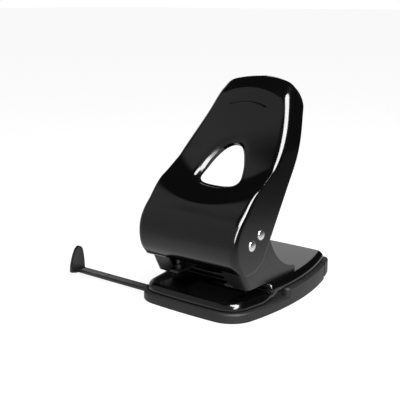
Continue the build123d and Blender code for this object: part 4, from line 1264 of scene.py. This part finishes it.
@dataclass
class PaperGuide:
    """The sliding guide: a flat bar with two scale fields and an upright stop with a raised rim.

    Attributes:
        stop: X of the stop's face.
        stop_thick: the stop's thickness.
        tongue: Y and Z along the stop's edge, from its front corner over the top to its rear corner.
        tongue_steps: points along that edge.
        foot: Y and Z of the corners of the straight lower edges, under the bar and in front of it.
        rim_width, rim_height, rim_slope: the stop's raised rim, and the width of its inner slope.
        stop_round: rounding of the stop's edges.
        bar: lowest and highest places of the bar along X, Y and Z.
        fields: X of the ends of the two scale fields.
        field_inset, field_height: the bar's edge to a field, and how far a field stands up.
        field_sunk: how far a field reaches into the bar.
        bar_round, field_round: rounding of the bar's and of a field's edges.
        bar_sharp, stop_sharp: least angle of an edge that is rounded, in degrees, on the bar and its
            fields and on the stop.
        ahead: least share of X in the way that the stop's face looks.
        smooth: faces that meet at less than this angle are shaded as one, in degrees.
    """

    stop: float = -148.5
    stop_thick: float = 2.6
    tongue: tuple[tuple[float, float], ...] = (
        (-78.8, 6.2), (-78.0, 12.6), (-76.6, 17.6), (-74.4, 23.2), (-71.4, 28.2), (-67.4, 30.6),
        (-63.9, 29.0), (-62.0, 25.4), (-60.8, 18.5), (-60.2, 11.9), (-60.0, 5.0))
    tongue_steps: int = 45
    foot: tuple[tuple[float, float], ...] = ((-60.0, 3.4), (-71.4, 3.4), (-78.2, 4.9))
    rim_width: float = 1.3
    rim_height: float = 0.5
    rim_slope: float = 0.3
    stop_round: float = 0.35
    bar: tuple[tuple[float, float], ...] = ((-150.6, -30.5), (-69.9, -59.4), (3.4, 6.4))
    fields: tuple[tuple[float, float], ...] = ((-146.6, -112.9), (-111.3, -34.0))
    field_inset: float = 1.6
    field_height: float = 0.12
    field_sunk: float = 0.5
    bar_round: float = 0.4
    field_round: float = 0.08
    bar_sharp: float = 30.0
    stop_sharp: float = 40.0
    ahead: float = 0.9
    smooth: float = 35.0

    def box(self, name: str, sides: Sequence[tuple[float, float]], rounding: float) -> bpy.types.Object:
        """Model a flat bar with rounded edges.

        Args:
            name: the piece's name.
            sides: its lowest and highest places along X, Y and Z.
            rounding: rounding of its edges.

        Returns:
            The bar.
        """
        middle = Vector([sum(side) for side in sides]) / 2
        size = Vector([high - low for low, high in sides])
        deselect_all()
        bpy.ops.mesh.primitive_cube_add(size=MM)
        piece = start_piece(name)
        for vertex in piece.data.vertices:
            share = Vector(vertex.co) / MM
            vertex.co = Vector([m + s * w for m, s, w in zip(middle, share, size)]) * MM
        bevel_edges(piece, rounding, segments=3, degrees=self.bar_sharp)
        smooth_piece(piece, self.smooth)
        return piece

    def stop_edge(self) -> list[tuple[float, float]]:
        """The stop's outline.

        Returns:
            Y and Z from its front corner over the top to its rear corner and along its foot.
        """
        knots = np.arange(len(self.tongue), dtype=float)
        along = np.linspace(0, len(self.tongue) - 1, self.tongue_steps)
        y, z = (natural_spline(knots, values)(along) for values in zip(*self.tongue))
        return [*zip(y, z), *self.foot]

    def build_stop(self) -> bpy.types.Object:
        """Model the upright stop, with its face sunk inside a rim.

        Returns:
            The stop.
        """
        edge = self.stop_edge()
        deselect_all()
        bpy.ops.mesh.primitive_circle_add(vertices=len(edge), radius=MM, fill_type="NGON")
        stop = start_piece("guide_stop")
        for vertex, (y, z) in zip(stop.data.vertices, edge):
            vertex.co = Vector((self.stop, y, z)) * MM
        bpy.ops.object.mode_set(mode="EDIT")
        bpy.ops.mesh.select_mode(type="FACE")
        bpy.ops.mesh.select_all(action="SELECT")
        back = (-self.stop_thick * MM, 0, 0)
        bpy.ops.mesh.extrude_region_move(TRANSFORM_OT_translate={"value": back})
        bpy.ops.object.mode_set(mode="OBJECT")
        outward(stop)
        mesh = bmesh.new()
        mesh.from_mesh(stop.data)
        face = [f for f in mesh.faces if len(f.verts) == len(edge) and f.normal.x > self.ahead]
        bmesh.ops.inset_region(mesh, faces=face, thickness=self.rim_width * MM, use_even_offset=True)
        bmesh.ops.inset_region(mesh, faces=face, thickness=self.rim_slope * MM, depth=-self.rim_height * MM)
        mesh.to_mesh(stop.data)
        mesh.free()
        bevel_edges(stop, self.stop_round, segments=2, degrees=self.stop_sharp)
        smooth_piece(stop, self.smooth)
        return stop

    def build(self, material: bpy.types.Material, scale: bpy.types.Material) -> list[bpy.types.Object]:
        """Model the guide.

        Args:
            material: the finish of bar and stop.
            scale: the finish of the scale fields.

        Returns:
            The bar, the stop and the fields.
        """
        bar = self.box("guide_bar", self.bar, self.bar_round)
        dress(bar, Body.GUIDE, Slot.PLASTIC, material, "paper_guide")
        stop = self.build_stop()
        dress(stop, Body.GUIDE, Slot.PLASTIC, material)
        made = [bar, stop]
        _, (front, rear), (_, top) = self.bar
        across = (front + self.field_inset, rear - self.field_inset)
        upright = (top - self.field_sunk, top + self.field_height)
        for name, ends in zip(("outer", "inner"), self.fields):
            strip = self.box("guide_field_" + name, (ends, across, upright), self.field_round)
            dress(strip, Body.GUIDE, Slot.PLASTIC, scale)
            made.append(strip)
        return made


@dataclass
class Axles:
    """The two axles across the lever, with domed heads riveted over outside its flanks.

    Attributes:
        places: name, Y and Z of each axle.
        half: half length between the heads.
        radius: radius of the shank.
        head: profile of a head, as height over the flank and radius.
        steps: points around an axle.
        smooth: faces that meet at less than this angle are shaded as one, in degrees.
    """

    places: tuple[tuple[str, float, float], ...] = (
        ("pivot_axle", -57.1, 66.0), ("drive_axle", -43.704, 73.183))
    half: float = 55.2
    radius: float = 3.5
    head: tuple[tuple[float, float], ...] = (
        (-1.0, 4.8), (0.3, 4.8), (0.62, 4.6), (1.0, 4.05), (1.3, 3.3), (1.52, 2.4), (1.66, 1.4), (1.7, 0.0))
    steps: int = 56
    smooth: float = 35.0

    def build(self, material: bpy.types.Material) -> list[bpy.types.Object]:
        """Turn both axles from their profile.

        Args:
            material: their finish.

        Returns:
            The axles.
        """
        right = [(self.half, self.radius)] + [(self.half + h, r) for h, r in self.head]
        profile = [(-x, r) for x, r in reversed(right)] + right
        made = []
        for name, y, z in self.places:
            axle = self.turn(name + "_turned", profile, Vector((0, y, z)) * MM)
            smooth_piece(axle, self.smooth)
            dress(axle, Body.LEVER, Slot.STEEL, material, name)
            made.append(axle)
        return made

    def turn(self, name: str, profile: Sequence[tuple[float, float]], centre: Vector) -> bpy.types.Object:
        """Turn a profile about a line along X.

        Args:
            name: the piece's name.
            profile: places along the line and radii, in millimetres.
            centre: a place on the line, in metres.

        Returns:
            The turned piece.
        """
        axis = Vector((1, 0, 0))
        side = axis.orthogonal().normalized()
        deselect_all()
        bpy.ops.mesh.primitive_circle_add(vertices=len(profile), radius=MM, fill_type="NOTHING")
        piece = start_piece(name)
        bpy.ops.object.mode_set(mode="EDIT")
        mesh = bmesh.from_edit_mesh(piece.data)
        ring = sorted(mesh.verts, key=lambda v: v.index)
        for vertex, (along, radius) in zip(ring, profile):
            vertex.co = centre + axis * along * MM + side * radius * MM
        closing = [e for e in mesh.edges if {ring[0], ring[-1]} == set(e.verts)]
        bmesh.ops.delete(mesh, geom=closing, context="EDGES_FACES")
        bmesh.update_edit_mesh(piece.data)
        bpy.ops.mesh.select_all(action="SELECT")
        bpy.ops.mesh.spin(steps=self.steps, angle=FULL_TURN, center=centre, axis=axis)
        bpy.ops.object.mode_set(mode="OBJECT")
        outward(piece)
        return piece


@dataclass
class ReturnSprings:
    """The two return springs, wound with closed ends between bush and washer.

    Attributes:
        spacing: distance between the springs along X.
        y: their place along Y.
        low: lowest place of the wire.
        high: highest place of the wire.
        radius: radius of the coil to the middle of the wire.
        wire: thickness of the wire.
        wire_steps: points between the corners of a quarter of the wire's section.
        turns: how many turns it has.
        turn_steps: points along a turn.
        closed: share of a turn's rise in the end turns.
        stroke: how far the pins press the springs together; not used.
        smooth: faces that meet at less than this angle are shaded as one, in degrees.
    """

    spacing: float = 80.0
    y: float = -42.802
    low: float = 34.0
    high: float = 65.18
    radius: float = 4.9
    wire: float = 1.2
    wire_steps: int = 3
    turns: float = 9.0
    turn_steps: int = 28
    closed: float = 0.28
    stroke: float = 11.6
    smooth: float = 50.0

    def height_at(self, turn: np.ndarray) -> np.ndarray:
        """Height of the wire's middle, which rises slowly in the end turns.

        Args:
            turn: rising counts of turns, from none to all.

        Returns:
            The height after each count.
        """
        rate = np.where((turn < 1.0) | (turn > self.turns - 1.0), self.closed, 1.0)
        rise = np.concatenate([[0.0], np.cumsum((rate[1:] + rate[:-1]) / 2 * np.diff(turn))])
        low, high = self.low + self.wire / 2, self.high - self.wire / 2
        return low + (high - low) * rise / rise[-1]

    def build(self, material: bpy.types.Material) -> list[bpy.types.Object]:
        """Wind both springs.

        Args:
            material: their finish.

        Returns:
            The springs.
        """
        turn = np.linspace(0, self.turns, int(self.turns * self.turn_steps) + 1)
        made = []
        for middle, word in ((-self.spacing / 2, "left"), (self.spacing / 2, "right")):
            x = middle + self.radius * np.cos(turn * FULL_TURN)
            y = self.y + self.radius * np.sin(turn * FULL_TURN)
            spring = self.wind(word, np.stack((x, y, self.height_at(turn)), axis=1))
            outward(spring)
            smooth_piece(spring, self.smooth)
            dress(spring, Body.BASE, Slot.STEEL, material, "return_spring_" + word)
            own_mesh(spring)
            made.append(spring)
        return made

    def wind(self, word: str, places: np.ndarray) -> bpy.types.Object:
        """Draw a wire along some places.

        Args:
            word: which of the springs it is.
            places: X, Y and Z of the wire's middle.

        Returns:
            The wire as a mesh.
        """
        line = bpy.data.curves.new("spring_wire_" + word, "CURVE")
        line.dimensions = "3D"
        spline = line.splines.new("POLY")
        spline.points.add(len(places) - 1)
        for point, place in zip(spline.points, places):
            point.co = (*(MM * v for v in place), 1.0)
        line.bevel_depth = self.wire / 2 * MM
        line.bevel_resolution = self.wire_steps
        line.use_fill_caps = True
        spring = bpy.data.objects.new("coil_spring_" + word, line)
        bpy.context.scene.collection.objects.link(spring)
        select_only(spring)
        bpy.ops.object.convert(target="MESH")
        return bpy.context.object


def sky_way(azimuth: float, elevation: float) -> Vector:
    """The way from the object towards a place on the sky, given in degrees from straight in front."""
    a, e = math.radians(azimuth), math.radians(elevation)
    return Vector((math.sin(a) * math.cos(e), -math.cos(a) * math.cos(e), math.sin(e)))


@dataclass(frozen=True)
class Panel:
    """A soft light panel with round ends that faces the object.

    Attributes:
        name: the light's name.
        low: azimuth and elevation of its lower end, in degrees.
        high: azimuth and elevation of its upper end, in degrees.
        distance: metres from the object.
        width: width in metres.
        power: power in watts.
        centre: place on the object that it is hung around, in metres.
    """

    name: str
    low: tuple[float, float]
    high: tuple[float, float]
    distance: float
    width: float
    power: float
    centre: tuple[float, float, float] = (0.0, -0.02, 0.09)

    def build(self) -> bpy.types.Object:
        """Hang the panel.

        Returns:
            The light.
        """
        foot, head = sky_way(*self.low) * self.distance, sky_way(*self.high) * self.distance
        data = bpy.data.lights.new(self.name, "AREA")
        data.shape = "ELLIPSE"
        data.size, data.size_y = self.width, (head - foot).length
        data.energy = self.power
        panel = bpy.data.objects.new(self.name, data)
        bpy.context.scene.collection.objects.link(panel)
        back = ((foot + head) / 2).normalized()
        upward = (head - foot).normalized()
        across = upward.cross(back)
        panel.location = Vector(self.centre) + (foot + head) / 2
        panel.rotation_euler = Matrix((across, upward, back)).transposed().to_euler()
        panel.visible_camera = False
        return panel


@dataclass
class Studio:
    """Camera, floor and light.

    Attributes:
        target: what the camera looks at.
        azimuth: degrees from straight in front towards the right.
        elevation: degrees above the horizon.
        distance: camera to target.
        focal: focal length in pixels of the picture's frame.
        frame: width of that frame in pixels.
        sensor: width of the camera's sensor.
        clip: nearest and farthest places that it sees, in metres.
        floor_size, floor_drop: side of the floor and its depth below the base, in metres.
        floor_glow: brightness of the floor to the camera.
        floor_grey: its shade where it takes shadows.
        floor_shadow: how much of it takes shadows.
        mirrored_near: how fast the floor's mirror image gets dimmer away from the object, per metre.
        mirrored_turn: share of X in the direction along which the far floor gets dimmer.
        mirrored_run: where that starts and ends along this direction, in metres.
        mirrored_far: brightness of the far floor's mirror image at its start and end.
        sky_base: brightness of the whole sky in mirror images.
        front_run: between which ways to the front the front sky gets bright.
        front_top: heights between which it gets dark again.
        front_glow: its brightness.
        side_way: share of Y and of -X in the way to the bright part at the left.
        side_run: between which ways towards that it gets bright.
        side_top: heights between which it gets dark again.
        side_glow: its brightness.
        panels: the light panels.
    """

    target: tuple[float, float, float] = (-5.04, -52.79, 97.05)
    azimuth: float = 38.271
    elevation: float = 13.694
    distance: float = 740.0
    focal: float = 825.98
    frame: float = 400.0
    sensor: float = 36.0
    clip: tuple[float, float] = (0.05, 60.0)
    floor_size: float = 40.0
    floor_drop: float = 0.0002
    floor_glow: float = 1.06
    floor_grey: float = 0.82
    floor_shadow: float = 0.12
    mirrored_near: float = 3.8
    mirrored_turn: float = 0.62
    mirrored_run: tuple[float, float] = (-0.3, 0.4)
    mirrored_far: tuple[float, float] = (0.46, 0.07)
    sky_base: float = 0.012
    front_run: tuple[float, float] = (0.0, 0.22)
    front_top: tuple[float, float] = (0.76, 0.88)
    front_glow: float = 0.42
    side_way: tuple[float, float] = (0.375, 0.927)
    side_run: tuple[float, float] = (0.84, 0.95)
    side_top: tuple[float, float] = (0.27, 0.60)
    side_glow: float = 0.50
    panels: tuple[Panel, ...] = (
        Panel("low_panel", (50.0, 2.0), (74.0, 44.0), distance=1.2, width=0.32, power=17.0),
        Panel("high_panel", (60.0, 38.0), (76.0, 80.0), distance=1.2, width=0.62, power=30.0),
        Panel("rear_card", (-155.7, 0.9), (-155.7, 19.2), distance=0.64, width=0.16, power=0.0635))

    def build_camera(self) -> bpy.types.Object:
        """Set up the camera at the photograph's angle and make it the scene's own.

        Returns:
            The camera.
        """
        data = bpy.data.cameras.new("studio_camera")
        data.sensor_width = self.sensor
        data.lens = self.focal * data.sensor_width / self.frame
        data.clip_start, data.clip_end = self.clip
        camera = bpy.data.objects.new("studio_camera", data)
        bpy.context.scene.collection.objects.link(camera)
        back = sky_way(self.azimuth, self.elevation)
        camera.location = (Vector(self.target) + back * self.distance) * MM
        camera.rotation_euler = (-back).to_track_quat("-Z", "Y").to_euler()
        bpy.context.scene.camera = camera
        return camera

    def build_floor(self) -> bpy.types.Object:
        """Lay a wide pale floor that is dimmer in the object's mirror images than to the camera.

        Returns:
            The floor.
        """
        deselect_all()
        bpy.ops.mesh.primitive_plane_add(size=self.floor_size, location=(0, 0, -self.floor_drop))
        floor = start_piece("studio_floor")
        paint = bpy.data.materials.new("pale_floor")
        paint.use_nodes = True
        graph = ShaderGraph(paint.node_tree)
        glow = graph.node("Emission", {"Strength": self.floor_glow})
        matt = graph.node("BsdfDiffuse", {"Color": (self.floor_grey, self.floor_grey, self.floor_grey, 1)})
        seen = graph.mix(self.floor_shadow, glow, matt)
        place = graph.node("TexCoord").outputs["Object"]
        x, y, _ = graph.node("SeparateXYZ", {0: place}).outputs
        away = graph.node("VectorMath", {0: place}, operation="LENGTH").outputs["Value"]
        square = graph.math("POWER", graph.product(away, self.mirrored_near), 2.0)
        near = graph.math("EXPONENT", graph.product(square, -1.0))
        behind = graph.math("ADD", graph.product(x, self.mirrored_turn), y)
        far = graph.spread(behind, self.mirrored_far, self.mirrored_run)
        lift = graph.product(graph.rest(far), near)
        mirrored = graph.node("Emission", {"Strength": graph.math("ADD", far, lift)})
        pick = graph.mix(graph.node("LightPath").outputs["Is Glossy Ray"], seen, mirrored)
        graph.node("OutputMaterial", {"Surface": pick.outputs[0]})
        floor.data.materials.append(paint)
        return floor

    def build_sky(self) -> None:
        """White to the camera; in mirror images a dim front, a bright left and a dark ceiling."""
        world = bpy.data.worlds.new("studio_sky")
        bpy.context.scene.world = world
        world.use_nodes = True
        graph = ShaderGraph(world.node_tree)
        place = graph.node("TexCoord").outputs["Generated"]
        x, y, z = graph.node("SeparateXYZ", {0: place}).outputs
        front = graph.ease(graph.product(y, -1.0), self.front_run)
        front = graph.product(front, graph.rest(graph.ease(z, self.front_top)), self.front_glow)
        way = graph.math("SUBTRACT", graph.product(y, self.side_way[0]), graph.product(x, self.side_way[1]))
        side = graph.ease(way, self.side_run)
        side = graph.product(side, graph.rest(graph.ease(z, self.side_top)), self.side_glow)
        total = graph.math("ADD", graph.math("ADD", front, side), self.sky_base)
        grey = graph.node("CombineXYZ", {0: total, 1: total, 2: total})
        around = graph.node("Background", {"Color": grey.outputs[0]})
        seen = graph.node("Background", {"Color": (1, 1, 1, 1)})
        pick = graph.mix(graph.node("LightPath").outputs["Is Camera Ray"], around, seen)
        graph.node("OutputWorld", {"Surface": pick.outputs[0]})

    def build(self) -> None:
        """Set up the whole studio."""
        bpy.context.scene.view_settings.view_transform = "Standard"
        self.build_camera()
        self.build_floor()
        self.build_sky()
        for panel in self.panels:
            panel.build()


def dress_nodes(finishes: dict[Slot, bpy.types.Material],
                special: dict[str, bpy.types.Material]) -> None:
    """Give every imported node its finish.

    Args:
        finishes: the finish of each slot.
        special: finishes of single nodes, by their names or the start of them.
    """
    slots = {part["node"]: Slot(part["material_slot"]) for part in frame["record"]["subparts"]}
    for name, node in frame["nodes"].items():
        own = [finish for start, finish in special.items() if name.startswith(start)]
        node.data.materials.clear()
        node.data.materials.append(own[0] if own else finishes[slots[name]])


def main() -> None:
    """Build every piece in order and report it."""
    logging.basicConfig(level=logging.INFO, format="%(name)s: %(message)s")
    effects = Effects()
    lacquer, satin = LACQUER.material(effects), SATIN.material(effects)
    plastic, slide = PLASTIC.material(effects), SLIDE.material(effects)
    steel, tool, wire = STEEL.material(effects), TOOL_STEEL.material(effects), SPRING_STEEL.material(effects)
    rubber, scale = RUBBER.material(effects), FIELD.material(effects)
    dress_nodes({Slot.LACQUER: lacquer, Slot.STEEL: steel, Slot.PLASTIC: plastic, Slot.RUBBER: rubber},
                {"frame_rivets": steel, "frame": satin, "paper_guide": slide, "punch_pin": tool,
                 "guide_bush": tool, "die": tool, "spring_washer": tool})
    Lever().build(lacquer)
    Plate().build(lacquer)
    PaperGuide().build(slide, scale)
    Axles().build(steel)
    ReturnSprings().build(wire)
    Studio().build()


if __name__ == "__main__":
    main()
